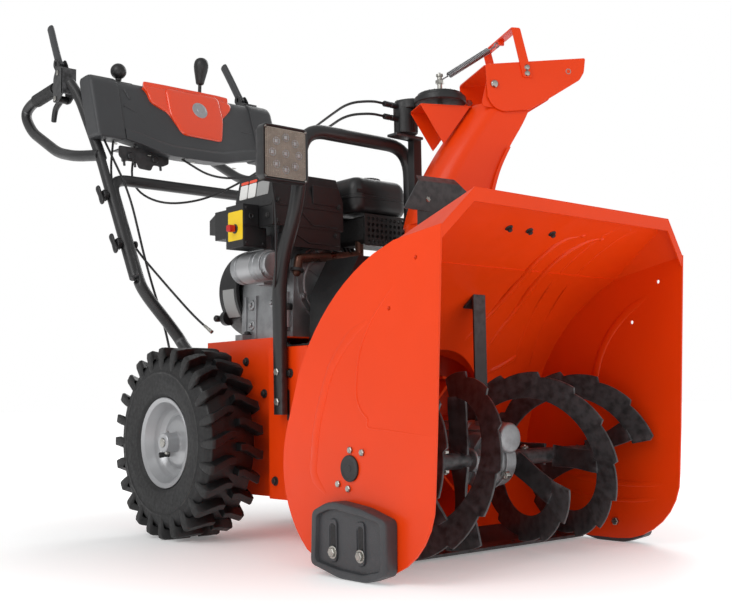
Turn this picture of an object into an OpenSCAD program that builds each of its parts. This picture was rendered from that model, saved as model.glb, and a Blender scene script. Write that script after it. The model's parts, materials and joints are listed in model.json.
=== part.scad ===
// Two stage snowblower: intake housing with ribbon augers, impeller, turning chute,
// engine on a sheet metal frame, two driven wheels and a folding handle with its console.
// The machine faces -Y, the operator's left is +X, and the ground is z = 0.

/* [Housing] */
// Outside width of the intake housing
bucket_w = 610; // [600:1:640]
// Thickness of the side plates
plate_t = 3.5; // [3:0.5:5]
// Thickness of the housing sheet
sheet_t = 2.5; // [2:0.5:3]
// Height of the auger axis
auger_z = 165; // [160:1:170]
// Outside diameter of the augers
auger_d = 305; // [280:1:308]

/* [Impeller and chute] */
// Inside radius of the impeller drum
drum_r = 162; // [158:1:164]
// Height of the impeller axis
impeller_z = 202; // [200:1:204]
// Outside radius of the outlet collar that carries the chute
collar_r = 72; // [68:1:73]
// Chute heading from straight ahead, to the operator's left
chute_heading = 64; // [0:1:64]

/* [Wheels] */
// Tyre diameter
wheel_d = 381; // [370:1:385]
// Tyre width
tyre_w = 122; // [110:1:122]
// Distance between the tyres' middle planes
track = 436; // [434:1:446]

/* [Handle] */
// Diameter of the handle tubes
tube_d = 26; // [22:1:28]
// Distance between the faces where the upper and lower tubes meet
handle_w = 464; // [460:1:466]

/* [Hidden] */

orange = "orangered";
black = [0.1, 0.1, 0.11];
grey = [0.24, 0.24, 0.25];
steel = "silver";

// Stations along the machine are counted back from the side plates' front edge, and
// x from the machine's own middle plane. The two shifts bring the middle of the whole
// machine, with its chute turned to the side, to x = 0 and y = 0.
length_shift = -744.29;
side_shift = -37.26;
half_w = bucket_w / 2;
auger_y = 190;
gap = 0.3;             // between bodies that move past each other
fit_gap = 0.05;        // radial running clearance of shafts

// ---------------------------------------------------------------- helpers

module shift() translate([side_shift, length_shift, 0]) children();

// Both sides of the machine
module both() {
    children();
    mirror([1, 0, 0]) children();
}

// Cylinders along X and Y, starting at the low end
module rod_x(x, y, z, r, l, fn = 48) translate([x, y, z]) rotate([0, 90, 0])
    cylinder(r = r, h = l, $fn = fn);
module rod_y(x, y, z, r, l, fn = 48) translate([x, y, z]) rotate([-90, 0, 0])
    cylinder(r = r, h = l, $fn = fn);
module rod_z(x, y, z, r, l, fn = 48) translate([x, y, z]) cylinder(r = r, h = l, $fn = fn);

// An outline in (y, z), extruded along X
module extrude_x(x, w) translate([x, 0, 0]) rotate([90, 0, 90]) linear_extrude(w) children();

// A hexagon bolt head or nut whose axis is X
module hex_x(x, y, z, r, l) rod_x(x, y, z, r, l, 6);

function arc(c, r, a0, a1, n) =
    [for (i = [0:n]) let (a = a0 + (a1 - a0) * i / n) [c[0] + r * cos(a), c[1] + r * sin(a)]];

function unit(v) = v / norm(v);

// A polyline whose corners are rounded by curves that start r before each corner
function rounded(p, r, n = 4) = [
    p[0],
    for (i = [1:len(p) - 2])
        let (a = p[i] + unit(p[i - 1] - p[i]) * min(r, norm(p[i - 1] - p[i]) * 0.49),
             b = p[i] + unit(p[i + 1] - p[i]) * min(r, norm(p[i + 1] - p[i]) * 0.49))
        for (k = [0:n]) let (t = k / n) a * (1 - t) * (1 - t) + p[i] * 2 * t * (1 - t) + b * t * t,
    p[len(p) - 1]
];

// Faces between rings of equal length, with both ends closed
function skin_faces(m, n) = concat(
    [[for (j = [0:n - 1]) j]],
    [for (i = [0:m - 2]) for (j = [0:n - 1]) let (k = (j + 1) % n)
        each [[i * n + j, (i + 1) * n + j, (i + 1) * n + k], [i * n + j, (i + 1) * n + k, i * n + k]]],
    [[for (j = [n - 1:-1:0]) (m - 1) * n + j]]);

function turned(r) = [for (i = [len(r) - 1:-1:0]) r[i]];
function middle(r) = [for (k = [0:2]) [for (q = r) q[k]] * [for (q = r) 1 / len(r)]];
function total(v, i = 0) = i == len(v) - 1 ? v[i] : v[i] + total(v, i + 1);
function facing(r) = total([for (i = [1:len(r) - 2]) cross(r[i] - r[0], r[i + 1] - r[0])]);

// A solid through rings of points, whichever way round they run
module skin(rings) {
    ahead = facing(rings[0]) * (middle(rings[1]) - middle(rings[0])) > 0;
    polyhedron(points = [for (r = rings) each (ahead ? r : turned(r))],
        faces = skin_faces(len(rings), len(rings[0])));
}

// A round tube along a path; side is any direction that the path never takes
module tube(p, r, side, sides = 12) {
    m = len(p);
    skin([for (i = [0:m - 1])
        let (t = unit(p[min(i + 1, m - 1)] - p[max(i - 1, 0)]), u = unit(cross(t, side)), v = cross(t, u))
        [for (j = [0:sides - 1]) let (a = 360 * j / sides) p[i] + u * r * cos(a) + v * r * sin(a)]]);
}

// ---------------------------------------------------------------- housing

nose_z = 518.9;                  // where the plate's front edge meets the hood's chamfer
nose_y = -17.6;
lip = [244.5, -29.3, 577.3];     // hood's front corner
hood_end = [half_w, 130, 491];   // where the chamfer dies out
axis_c = [auger_y, auger_z];
back_c = [-18, 144];             // centre of the upper back's arc
back_r = 377.5;
low_back_r = 173;

// The housing's back outline from the hood to the bottom, drawn in by a distance
function back_line(in) = concat(
    arc(back_c, back_r - in, 67, 27, 10),
    arc(axis_c, low_back_r - in, 20, -50, 10));

// The low front corner is a quarter of an ellipse
function low_front(n) =
    [for (i = [0:n]) let (a = 270 - 90 * i / n) [143 + 137 * cos(a), 131 + 124 * sin(a)]];

function plate_outline() = concat(
    [[nose_y, nose_z], [83, 507]],
    back_line(0),
    [[250, 7.4]],
    low_front(8),
    [[0, 216]]);

shoe_bolt_y = [146, 211];
shoe_bolt_z = 38;
plate_holes = [[35.5, 476], [95.4, 405.6]];
hoop_foot_y = 555;
hoop_bolt_z = [268, 324];
handle_bolts = [[810, 301], [860, 334]];
bearing_bolts = [[189, 193], [161, 190], [219, 140], [194.5, 134]];
hood_bolt_x = [-98, -49, 8];

module side_plates() {
    color(orange) shift() both() difference() {
        extrude_x(half_w - plate_t, plate_t) polygon(plate_outline());
        rod_x(half_w - 10, auger_y, auger_z, 16, 20);
        for (y = shoe_bolt_y) rod_x(half_w - 10, y, shoe_bolt_z, 4.3, 20);
        for (h = plate_holes) rod_x(half_w - 10, h[0], h[1], 3.5, 20);
    }
}

shell_x = half_w - plate_t;

// Solid that the wrapped sheet encloses, drawn in by a distance
module bucket_core(in, x) extrude_x(-x, 2 * x)
    polygon(concat([[60, 470]], back_line(in), [[299, 0], [100, 0]]));

module housing_shell() {
    drop = [0, 0, -sheet_t];
    c = [lip[0], lip[1], lip[2]];
    v = [shell_x, hood_end[1], hood_end[2]];
    a = [shell_x, nose_y, nose_z];
    m = [-1, 1, 1];
    cm = [-c[0], c[1], c[2]];
    vm = [-v[0], v[1], v[2]];
    am = [-a[0], a[1], a[2]];
    color(orange) shift() {
        difference() {
            extrude_x(-shell_x, 2 * shell_x)
                polygon(concat(back_line(1), turned(back_line(1 + sheet_t))));
            rod_y(0, 250, impeller_z, drum_r - 6, 140, 96);
        }
        // hood: sloping top, two chamfers and the folded front lip
        skin([[c, cm, vm, v], [c + drop, cm + drop, vm + drop, v + drop]]);
        skin([[a, c, v], [a + drop, c + drop, v + drop]]);
        skin([[cm, am, vm], [cm + drop, am + drop, vm + drop]]);
        fold = [0, 2, -21];
        inward = [0, 2.5, 0];
        for (e = [[cm, c], [c, a], [am, cm]]) {
            face = [e[0], e[1], e[1] + fold, e[0] + fold];
            skin([face, [for (q = face) q + inward]]);
        }
    }
}

drum_back = 488;
chute_x = 118;
chute_y = 401;
collar_top = 590;
drum_wall = 3;

module impeller_drum() {
    color(orange) shift() difference() {
        union() {
            rod_y(0, 280, impeller_z, drum_r + drum_wall, drum_back - 280, 96);
            rod_z(chute_x, chute_y, 235, collar_r, collar_top - 235);
            rod_z(chute_x, chute_y, collar_top - 26, collar_r + 12, 4);
            translate([-154, drum_back - 3, 60]) cube([308, 3, 312]);
        }
        rod_y(0, 280, impeller_z, drum_r, drum_back - drum_wall - 280, 96);
        rod_z(chute_x, chute_y, 238, collar_r - drum_wall, collar_top);
        rod_y(0, 400, impeller_z, 12, 120);
        bucket_core(0.7, 400);
    }
}

module scraper_bar() {
    color(black) shift() difference() {
        extrude_x(-shell_x + 1, 2 * shell_x - 2)
            polygon([[302.5, 31.5], [262, 7], [222, 4], [222, 9], [260, 12.5], [297.5, 34.2]]);
        for (x = [-240:120:240]) rod_z(x, 240, 0, 4, 20);
    }
}

// Skid shoe of the +X side
shoe_in = half_w + gap;
shoe_t = 22;
shoe_outline = [[263, 16], [259, 102], [227, 114], [202, 117], [139, 110], [83, 96], [85, 14],
    [131, 0], [194, 0]];

module skid_shoe() {
    color(grey) difference() {
        union() {
            extrude_x(shoe_in, shoe_t) polygon(shoe_outline);
            extrude_x(shoe_in + shoe_t, 3) polygon([[238, 22], [235, 88], [120, 88], [112, 22]]);
        }
        for (y = shoe_bolt_y) {
            translate([shoe_in - 1, y - 5, 30.5]) cube([shoe_t + 10, 10, 52.5]);
            translate([shoe_in + 12, y - 13, 24]) cube([shoe_t, 26, 66]);
        }
    }
}

module left_skid_shoe() shift() skid_shoe();
module right_skid_shoe() shift() mirror([1, 0, 0]) skid_shoe();

module hex_bolts() {
    head_x = shoe_in + 12;
    color(steel) shift() {
        both() for (y = shoe_bolt_y) {
            rod_x(half_w - plate_t - 6, y, shoe_bolt_z, 4, 34);
            hex_x(half_w - plate_t - 6, y, shoe_bolt_z, 7.5, 5.9);
            rod_x(head_x + gap, y, shoe_bolt_z, 10, 2);
            hex_x(head_x + 2.3, y, shoe_bolt_z, 7.5, 6);
        }
        // bearing bolts on each plate
        both() for (p = bearing_bolts) hex_x(half_w + 0.05, p[0], p[1], 6, 4);
        // bolts on the hood
        for (x = hood_bolt_x) translate([x, 42, 538.9]) rotate([-28.4, 0, 0])
            cylinder(r = 6.5, h = 4.5, $fn = 6);
        // bolts of the light hoop and of the handle's lower tube
        both() for (z = hoop_bolt_z) {
            rod_x(145, hoop_foot_y, z, 4, 34);
            hex_x(145, hoop_foot_y, z, 7.5, 6);
            hex_x(175.1, hoop_foot_y, z, 7.5, 5);
        }
        both() for (p = handle_bolts) {
            rod_x(116, p[0], p[1], 4, 36);
            hex_x(116, p[0], p[1], 7.5, 6.8);
            rod_x(126.2, p[0], p[1], 9, 2.6);
            hex_x(148.2, p[0], p[1], 7.5, 4.5);
        }
    }
}

module shaft_bearings() {
    color(black) shift() {
        both() difference() {
            union() {
                rod_x(half_w + gap, auger_y, auger_z, 20.4, 3);
                rod_x(half_w - plate_t - 4, auger_y, auger_z, 15.9, plate_t + 5);
                rod_x(half_w - plate_t - 7.2, auger_y, auger_z, 24, 7);
            }
            rod_x(half_w - 20, auger_y, auger_z, 9.5 + fit_gap, 16);
        }
        // impeller bearing on the drum's back
        difference() {
            union() {
                rod_y(0, drum_back + 0.1, impeller_z, 28, 12);
                rod_y(0, drum_back - 4, impeller_z, 11.9, 8);
            }
            rod_y(0, drum_back - 20, impeller_z, 9.5 + fit_gap, 60);
        }
    }
}

module gearcase_brace() {
    color(black) shift() {
        translate([-15, 0, 0]) rotate([90, 0, 90]) linear_extrude(30)
            polygon([[196, 234], [200, 234], [200, 442.5], [221, 426.5], [223, 429.4], [196, 450.2]]);
        translate([-15, 172, 230.3]) cube([30, 28, 4.5]);
    }
}

// ---------------------------------------------------------------- auger

worm_x_r = 33;
case_w = 56;

module auger_gearcase() {
    color(steel) shift() difference() {
        union() {
            rod_x(-case_w / 2, auger_y, auger_z, 47, case_w);
            rod_y(0, 130, impeller_z, 26, 200);
            rod_x(-case_w / 2 - 14, auger_y, auger_z, 20, case_w + 28);
            translate([-15, 172, 195]) cube([30, 30, 35]);
            rod_y(0, 214, impeller_z, 30, 12);
            rod_y(0, 302, impeller_z, 30, 12);
            translate([-3, 132, 118]) cube([6, 150, 70]);
        }
        rod_x(-worm_x_r / 2, auger_y, auger_z, 40, worm_x_r);
        rod_x(-60, auger_y, auger_z, 9.5 + fit_gap, 120);
        rod_y(0, 150, impeller_z, 17, 140);
        rod_y(0, 150, impeller_z, 9.5 + fit_gap, 200);
    }
}

module auger_axle() {
    color(steel) shift() difference() {
        rod_x(-half_w + 5, auger_y, auger_z, 9.5, bucket_w - 10);
        both() rod_z(shear_x, auger_y, auger_z - 20, 4 + fit_gap, 40);
    }
}

shear_x = 100;

tube_out = 14;
auger_end = 288;
auger_start = 48;
ribbon_in = 104;
ribbon_steps = 48;
tooth_depth = 9;

// One ribbon: start angle, turn and hand
module ribbon(a0, turn, x0, x1) {
    skin([for (i = [0:ribbon_steps])
        let (t = i / ribbon_steps, a = a0 + turn * t, x = x0 + (x1 - x0) * t,
             tooth = (i % 3) / 2 * tooth_depth, r = auger_d / 2 - tooth_depth + tooth, w = 2.2)
        [[x - w, auger_y + ribbon_in * cos(a), auger_z + ribbon_in * sin(a)],
         [x - w, auger_y + r * cos(a), auger_z + r * sin(a)],
         [x + w, auger_y + r * cos(a), auger_z + r * sin(a)],
         [x + w, auger_y + ribbon_in * cos(a), auger_z + ribbon_in * sin(a)]]]);
}

ribbon_turn = 330;

module auger_side(a0) {
    difference() {
        union() {
            rod_x(auger_start, auger_y, auger_z, tube_out, auger_end - auger_start);
            for (k = [0, 180]) for (t = [0.04, 0.5, 0.96]) {
                x = auger_start + 8 + (auger_end - auger_start - 16) * t;
                translate([x - 2.5, auger_y, auger_z]) rotate([a0 + k + ribbon_turn * t, 0, 0])
                    translate([0, 8, -17]) cube([5, ribbon_in + 2, 34]);
            }
        }
        rod_x(auger_start - 10, auger_y, auger_z, 9.5 + fit_gap, auger_end);
        rod_z(shear_x, auger_y, auger_z - 30, 4 + fit_gap, 60);
    }
    for (k = [0, 180]) ribbon(a0 + k, ribbon_turn, auger_start + 8, auger_end - 8);
}

module left_auger() color(black) shift() auger_side(20);
module right_auger() color(black) shift() mirror([1, 0, 0]) auger_side(75);

module shear_bolts() {
    color(steel) shift() both() {
        rod_z(shear_x, auger_y, auger_z - 20, 4, 40);
        rod_z(shear_x, auger_y, auger_z + 14.3, 7, 5, 6);
        rod_z(shear_x, auger_y, auger_z - 19.5, 7, 5, 6);
    }
}

module worm_wheel() {
    teeth = 20;
    color("goldenrod") shift() difference() {
        union() {
            rod_x(-8, auger_y, auger_z, 23, 16);
            for (i = [0:teeth - 1]) translate([-8, auger_y, auger_z]) rotate([i * 360 / teeth, 0, 0])
                translate([0, -1.6, 20]) cube([16, 3.2, 5.5]);
        }
        rod_x(-60, auger_y, auger_z, 9.5 + fit_gap, 120);
    }
}

// ---------------------------------------------------------------- impeller

impeller_front = 372;
impeller_back = 468;
blades = 4;

module impeller() {
    color(orange) shift() difference() {
        union() {
            rod_y(0, impeller_front, impeller_z, 18, impeller_back - impeller_front);
            for (k = [0:blades - 1]) translate([0, impeller_front, impeller_z])
                    rotate([0, 45 + k * 360 / blades, 0]) {
                translate([12, 0, -2.5]) cube([drum_r - 22, impeller_back - impeller_front, 5]);
                translate([drum_r - 16, 0, -2.5]) rotate([0, -35, 0])
                    cube([5, impeller_back - impeller_front, 26]);
            }
            rod_y(0, impeller_back - 4, impeller_z, 90, 4);
        }
        rod_y(0, impeller_front - 10, impeller_z, 9.5 + fit_gap, 200);
    }
}

module impeller_shaft() {
    color(steel) shift() {
        rod_y(0, 155, impeller_z, 9.5, 377);
        // worm over the wheel
        difference() {
            rod_y(0, 176, impeller_z, 11.2, 28);
            rod_y(0, 170, impeller_z, 9.4, 40);
        }
    }
}

impeller_pulley_y = 505;
traction_y = 540;
crank_z = 505;
impeller_pulley_r = 96;
crank_pulley_r = 36;
disc_pulley_r = 72;
disc_z = 255;

// A V pulley on a Y axis with its groove in the middle
module pulley(x, y, z, r, bore) {
    w = 20;
    translate([x, y, z]) rotate([-90, 0, 0]) rotate_extrude($fn = 72)
        polygon([[bore, 0], [r, 0], [r, 2], [r - 9, 6], [r - 9, 14], [r, 18], [r, w], [bore, w]]);
}

module impeller_pulley() color(grey) shift()
    pulley(0, impeller_pulley_y, impeller_z, impeller_pulley_r, 9.5 + fit_gap);

// A V belt between two pulleys on the same X
module belt(y, z0, r0, z1, r1) {
    translate([0, y + 6.5, 0]) rotate([-90, 0, 0]) mirror([0, 1, 0]) linear_extrude(7) difference() {
        hull() {
            translate([0, z0]) circle(r0 - 0.6, $fn = 48);
            translate([0, z1]) circle(r1 - 0.6, $fn = 48);
        }
        hull() {
            translate([0, z0]) circle(r0 - 8, $fn = 48);
            translate([0, z1]) circle(r1 - 8, $fn = 48);
        }
    }
}

module belts() {
    color(black) shift() {
        belt(impeller_pulley_y, impeller_z, impeller_pulley_r, crank_z, crank_pulley_r);
        belt(traction_y, disc_z, disc_pulley_r, crank_z, crank_pulley_r);
    }
}

// ---------------------------------------------------------------- chute

chute_half = 71;       // half width of the channel
chute_wall = 2.5;
// Slices of the channel: height, back and front of the slice along the heading
chute_slices = [[606, -74, 66], [650, -61, 76], [705, -35, 92], [755, -6, 116], [805, 28, 146],
    [846, 57, 166]];

// One slice of the channel, drawn in by a distance, its front moved on by another
function slice(s, in, on) = let (r = 52 - in, c = s[1] + 52)
    concat(
        [[s[2] + on, -chute_half + in, s[0]], [s[2] + on, chute_half - in, s[0]]],
        [for (p = arc([c, chute_half - 52], r, 90, 180, 7)) [p[0], p[1], s[0]]],
        [for (p = arc([c, -chute_half + 52], r, 180, 270, 7)) [p[0], p[1], s[0]]]);

// The same slices carried on past both ends
function carried(s) = let (n = len(s) - 1)
    concat([s[0] * 1.2 - s[1] * 0.2], s, [s[n] * 1.2 - s[n - 1] * 0.2]);

// Things that turn with the chute: X is the heading, the origin is the turning axis
module on_chute() shift() translate([chute_x, chute_y, 0]) rotate([0, 0, chute_heading - 90]) children();

hinge_s = 86;
hinge_z = 879;
hinge_r = 4;
panel_t = 2.5;
panel_in = 73.6;
rotor_z = 848;

module chute_gusset(y) translate([0, y, 0]) rotate([90, 0, 0]) linear_extrude(2.5)
    polygon([[-48, rotor_z - 5], [48, rotor_z - 5], [12, 776], [-6, 766]]);

module chute() {
    color(orange) on_chute() {
        difference() {
            union() {
                rod_z(0, 0, 570, collar_r + 3.6, 40, 64);
                rod_z(0, 0, 570, collar_r + 8, 4, 64);
            }
            rod_z(0, 0, 560, collar_r + 0.6, 80, 64);
        }
        difference() {
            skin([for (s = chute_slices) slice(s, 0, 0)]);
            skin([for (s = carried(chute_slices)) slice(s, chute_wall, 20)]);
        }
        // folded open edges
        for (m = [0, 1]) mirror([0, m, 0])
            skin([for (s = [for (i = [0:3]) chute_slices[i]])
                [[s[2], chute_half - 2, s[0]], [s[2], chute_half + 9, s[0]],
                 [s[2] - 2.5, chute_half + 9, s[0]], [s[2] - 2.5, chute_half - 2, s[0]]]]);
        // ears that carry the deflector
        for (m = [0, 1]) mirror([0, m, 0]) difference() {
            translate([0, chute_half, 0]) rotate([90, 0, 0]) linear_extrude(chute_wall)
                polygon([[60, 835], [74, 893], [98, 893], [166, 846], [150, 830]]);
            rod_y(hinge_s, 60, hinge_z, hinge_r + 0.02, 30, 32);
        }
        // pivot bolts
        for (m = [0, 1]) mirror([0, m, 0]) translate([hinge_s, 0, hinge_z]) rotate([-90, 0, 0]) {
            translate([0, 0, 64]) cylinder(r = 7.5, h = 4, $fn = 6);
            translate([0, 0, 66]) cylinder(r = hinge_r, h = 15, $fn = 32);
            translate([0, 0, 77]) cylinder(r = 7.5, h = 5, $fn = 32);
        }
        // mount under the rotor and its stud
        chute_gusset(-32);
        chute_gusset(34.5);
        intersection() {
            translate([-52, -34.5, rotor_z - 6]) cube([108, 69, 2.5]);
            rod_z(0, 0, rotor_z - 10, 59.5, 12, 96);
        }
        rod_z(0, 0, rotor_z - 4, 5, 74);
        rod_z(0, 0, 896, 9, 7, 6);
        rod_z(0, 0, 910, 7, 6, 24);
    }
}

panel_outline = concat([[69, 918], [72, 850]], arc([108, 862], 36, 195, 285, 6),
    [[158, 832], [210, 862], [268, 898], [278, 914], [282, 944]]);

module deflector() {
    color(orange) on_chute() {
        for (m = [0, 1]) mirror([0, m, 0]) {
            difference() {
                extrude_y(panel_in, panel_t) polygon(panel_outline);
                rod_y(hinge_s, 60, hinge_z, hinge_r + fit_gap, 40, 32);
                rod_y(244, 60, 914, 4, 40, 32);
            }
            // bail leg with its two bolts
            translate([0, panel_in + panel_t + 3, 0]) rotate([90, 0, 0]) linear_extrude(2.9)
                polygon([[146, 896], [166, 896], [142, 995], [124, 995]]);
            for (p = [[155, 904], [155, 916]]) translate([p[0], panel_in + 1, p[1]]) rotate([-90, 0, 0])
                cylinder(r = 4, h = 7, $fn = 24);
        }
        // top sheet and bail bridge
        skin([for (s = [[69, 918], [282, 944]]) let (w = panel_in + 1)
            [[s[0], -w, s[1]], [s[0], w, s[1]], [s[0], w, s[1] - 2.5], [s[0], -w, s[1] - 2.5]]]);
        translate([124, -panel_in - panel_t - 3, 992]) cube([18, 2 * (panel_in + panel_t + 3), 3]);
        translate([126, -4, 984]) cube([14, 8, 9]);
    }
}

// Tension spring from the stud to the bail: a closed coil with a hook at each end
module deflector_spring() {
    p = [[6.8, 0, 906], [120, 0, 981]];
    d = p[1] - p[0];
    color(steel) on_chute() translate(p[0]) rotate([0, atan2(d[0], d[2]), 0]) difference() {
        union() {
            cylinder(r = 1.5, h = norm(d), $fn = 16);
            translate([0, 0, 14]) cylinder(r = 7, h = 100, $fn = 32);
        }
        translate([0, 0, 16]) difference() {
            cylinder(r = 5, h = 96, $fn = 32);
            cylinder(r = 1.5, h = 96, $fn = 16);
        }
    }
}

head_x = 103;
head_y = 486;

module rotator_head() {
    color(black) shift() difference() {
        union() {
            rod_z(chute_x, chute_y, rotor_z + 6, 52, 14, 64);
            rod_z(chute_x, chute_y, rotor_z + 20, 44, 6, 64);
            hull() {
                rod_z(chute_x - 6, chute_y + 44, rotor_z + 8, 16, 14, 24);
                rod_z(head_x, head_y, rotor_z + 8, 26, 20, 24);
            }
            hull() {
                rod_z(head_x, head_y, 806, 24, 44, 24);
                rod_z(head_x, head_y, rotor_z + 16, 28, 6, 24);
            }
            rod_x(head_x - 60, head_y, 836, 6, 40, 24);
            rod_x(head_x - 60, head_y, 862, 6, 40, 24);
        }
        rod_z(chute_x, chute_y, rotor_z - 10, 5.05, 60, 32);
    }
}

hoop_y = 520;
hoop_top = 790;

module rotator_bracket() {
    color(black) shift() {
        translate([68, 476, 800]) cube([74, 29, 5.7]);
        translate([124, 486, 560]) cube([22, 4, 242]);
        translate([124, 486, 560]) cube([4, 18, 242]);
        translate([108, 474, 559.7]) cube([38, 16, 4]);
    }
}

module snow_shield() {
    color(black) shift() {
        // bent upper plate: its face and the lip folded back
        skin([
            [[-96, 282, 606], [66, 285, 606], [70, 285, 652], [50, 285, 664], [-58, 283, 660]],
            [[-96, 285, 606], [66, 288, 606], [70, 288, 652], [50, 288, 664], [-58, 286, 660]]]);
        skin([
            [[-58, 283, 657], [50, 285, 661], [46, 296, 673], [-54, 294, 669]],
            [[-58, 283, 660], [50, 285, 664], [46, 296, 676], [-54, 294, 672]]]);
        // stem down to the housing
        difference() {
            translate([-60, 284, 350]) cube([120, 3, 260]);
            bucket_core(0.7, 400);
            rod_y(0, 270, impeller_z, drum_r + drum_wall + gap, 40, 96);
        }
    }
}

// ---------------------------------------------------------------- light

leg = rounded([[-169, 555, 244], [-169, 555, 520], [-146, 522, 650], [-142, hoop_y, hoop_top],
    [142, hoop_y, hoop_top], [146, 522, 650], [169, 555, 520], [169, 555, 244]], 60);
lamp = [-214, 470, 721];                        // middle of the lamp's front
lamp_pin_y = 510;

module light_hoop() {
    color(black) shift() {
        difference() {
            tube(leg, 14, [0, 1, 0], 12);
            // flattened feet
            both() translate([175, 530, 230]) cube([12, 50, 116]);
            for (z = hoop_bolt_z) rod_x(-200, hoop_foot_y, z, 4.2, 400, 24);
        }
        // lamp bracket: an arm from the leg, two cheeks and the pin
        translate([lamp[0] - 17.4, 524, lamp[2] - 8]) cube([75, 4, 16]);
        for (x = [-17.4, 13.4]) translate([lamp[0] + x, 506.5, lamp[2] - 8]) cube([4, 21, 16]);
        rod_x(lamp[0] - 20, lamp_pin_y, lamp[2], 3, 40, 24);
    }
}

module headlight() {
    color(black) shift() difference() {
        union() {
            hull() both_at(lamp[0]) for (z = [-42, 42]) rod_y(42, lamp[1], lamp[2] + z, 10, 22, 24);
            for (i = [-5:5]) translate([lamp[0] + i * 9 - 1.2, lamp[1] + 21, lamp[2] - 44])
                cube([2.4, 10, 88]);
            for (x = [-13, 9]) translate([lamp[0] + x, lamp[1] + 21, lamp[2] - 9]) cube([4, 27, 18]);
        }
        hull() both_at(lamp[0]) for (z = [-40, 40]) rod_y(40, lamp[1] - 4, lamp[2] + z, 8, 10, 24);
        rod_x(lamp[0] - 30, lamp_pin_y, lamp[2], 3 + fit_gap, 60, 24);
    }
}

// Two copies either side of a plane x = c
module both_at(c) for (s = [-1, 1]) translate([c, 0, 0]) mirror([s < 0 ? 1 : 0, 0, 0]) children();

module headlight_lens() {
    color([0.85, 0.8, 0.75]) shift() hull() both_at(lamp[0])
        for (z = [-40, 40]) rod_y(40, lamp[1] + 1, lamp[2] + z, 7.5, 4.8, 24);
}

// ---------------------------------------------------------------- frame and drive

frame_half = 154.5;
rear_half = 126;
frame_front = 489;
step_y = 612;
frame_rear = 873;
floor_z = 84;
wall = 3;
axle_y = 810;
axle_z = wheel_d / 2;
hex_y = 764;

module frame_shell(in) {
    front = frame_front + (in > 0 ? -5 : 0);
    top = 372 + (in > 0 ? 20 : 0);
    extrude_x(-frame_half + in, 2 * (frame_half - in))
        polygon([[front, floor_z + in], [step_y - in, floor_z + in], [step_y - in, top], [front, top]]);
    extrude_x(-rear_half + in, 2 * (rear_half - in))
        polygon([[step_y - 20, floor_z + in], [frame_rear - in, floor_z + in], [frame_rear - in, 395 - in],
            [step_y - 20, 395 - in]]);
}

module frame_box() {
    color(orange) shift() difference() {
        union() {
            frame_shell(0);
            // bushes for the axle and the hex shaft
            both() rod_x(rear_half - 1, axle_y, axle_z, 20, 9);
            both() rod_x(rear_half - 1, hex_y, disc_z, 18, 6);
        }
        frame_shell(wall);
        rod_x(-200, axle_y, axle_z, 9.5 + fit_gap, 400);
        rod_x(-200, hex_y, disc_z, 9 + fit_gap, 400);
        for (z = hoop_bolt_z) rod_x(-200, hoop_foot_y, z, 4.2, 400, 24);
        for (p = handle_bolts) rod_x(-200, p[0], p[1], 4.2, 400, 24);
    }
    // bulkhead between the belts and the drive
    color(orange) shift() difference() {
        translate([-frame_half + 1, 575, floor_z + 1]) cube([2 * frame_half - 2, 3, 286]);
        rod_y(0, 570, disc_z, 9.5 + fit_gap, 20);
    }
}

axle_teeth = 30;
hex_teeth = 14;
gear_m = 3.6;
mesh_a = atan2(disc_z - axle_z, hex_y - axle_y);

module wheel_axle() {
    color(steel) shift() {
        difference() {
            rod_x(-273, axle_y, axle_z, 9.5, 546);
            both() rod_z(262, axle_y, 0, 3.05, 400, 24);
        }
        both() {
            rod_z(262, axle_y, axle_z - 22, 3, 44, 24);
        }
        // gear driven by the hex shaft
        spur_gear(100, axle_y, axle_z, axle_teeth, gear_m, 12, 9.3, mesh_a - 180 / axle_teeth);
    }
}

// A spur gear on an X axis with plain tapered teeth
module spur_gear(x, y, z, teeth, m, w, bore, turn) {
    pitch_r = teeth * m / 2;
    root_r = pitch_r - 1.15 * m;
    tip_r = pitch_r + 0.75 * m;
    half_root = 0.29 * m * PI;
    half_tip = 0.1 * m * PI;
    translate([x, y, z]) rotate([turn, 0, 0]) rotate([90, 0, 90]) linear_extrude(w) difference() {
        union() {
            circle(root_r, $fn = 96);
            for (i = [0:teeth - 1]) rotate(i * 360 / teeth)
                polygon([[root_r - 1, -half_root], [tip_r, -half_tip], [tip_r, half_tip],
                    [root_r - 1, half_root]]);
        }
        circle(bore, $fn = 48);
    }
}

tyre_mid = track / 2;
rim_r = 76;

module rim() {
    rotate([0, 90, 0]) difference() {
        union() {
            // barrel with its two flanges
            rotate_extrude($fn = 96) polygon([[90, -53], [90, -50.5], [81, -48], [79, -42], [70, -30],
                [70, 30], [79, 42], [81, 48], [90, 50.5], [90, 53], [78, 51], [76, 43], [67, 32],
                [67, -32], [76, -43], [78, -51]]);
            // dished disc
            rotate_extrude($fn = 96) polygon([[68, 30], [60, 17], [46, 23], [18, 23], [18, 20], [45, 20],
                [60, 13.5], [68, 25]]);
            translate([0, 0, -46]) cylinder(r = 19, h = 100, $fn = 48);
            translate([-58, 0, 12]) cylinder(r = 4, h = 30, $fn = 16);
        }
        translate([0, 0, -60]) cylinder(r = 9.55, h = 130, $fn = 48);
        translate([0, 0, 44]) rotate([0, 90, 0]) cylinder(r = 3.05, h = 60, center = true, $fn = 24);
    }
}

module wheel_rims() color(steel) shift() both() translate([tyre_mid, axle_y, axle_z]) rim();

lugs = 24;
tyre_r = wheel_d / 2;

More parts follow.
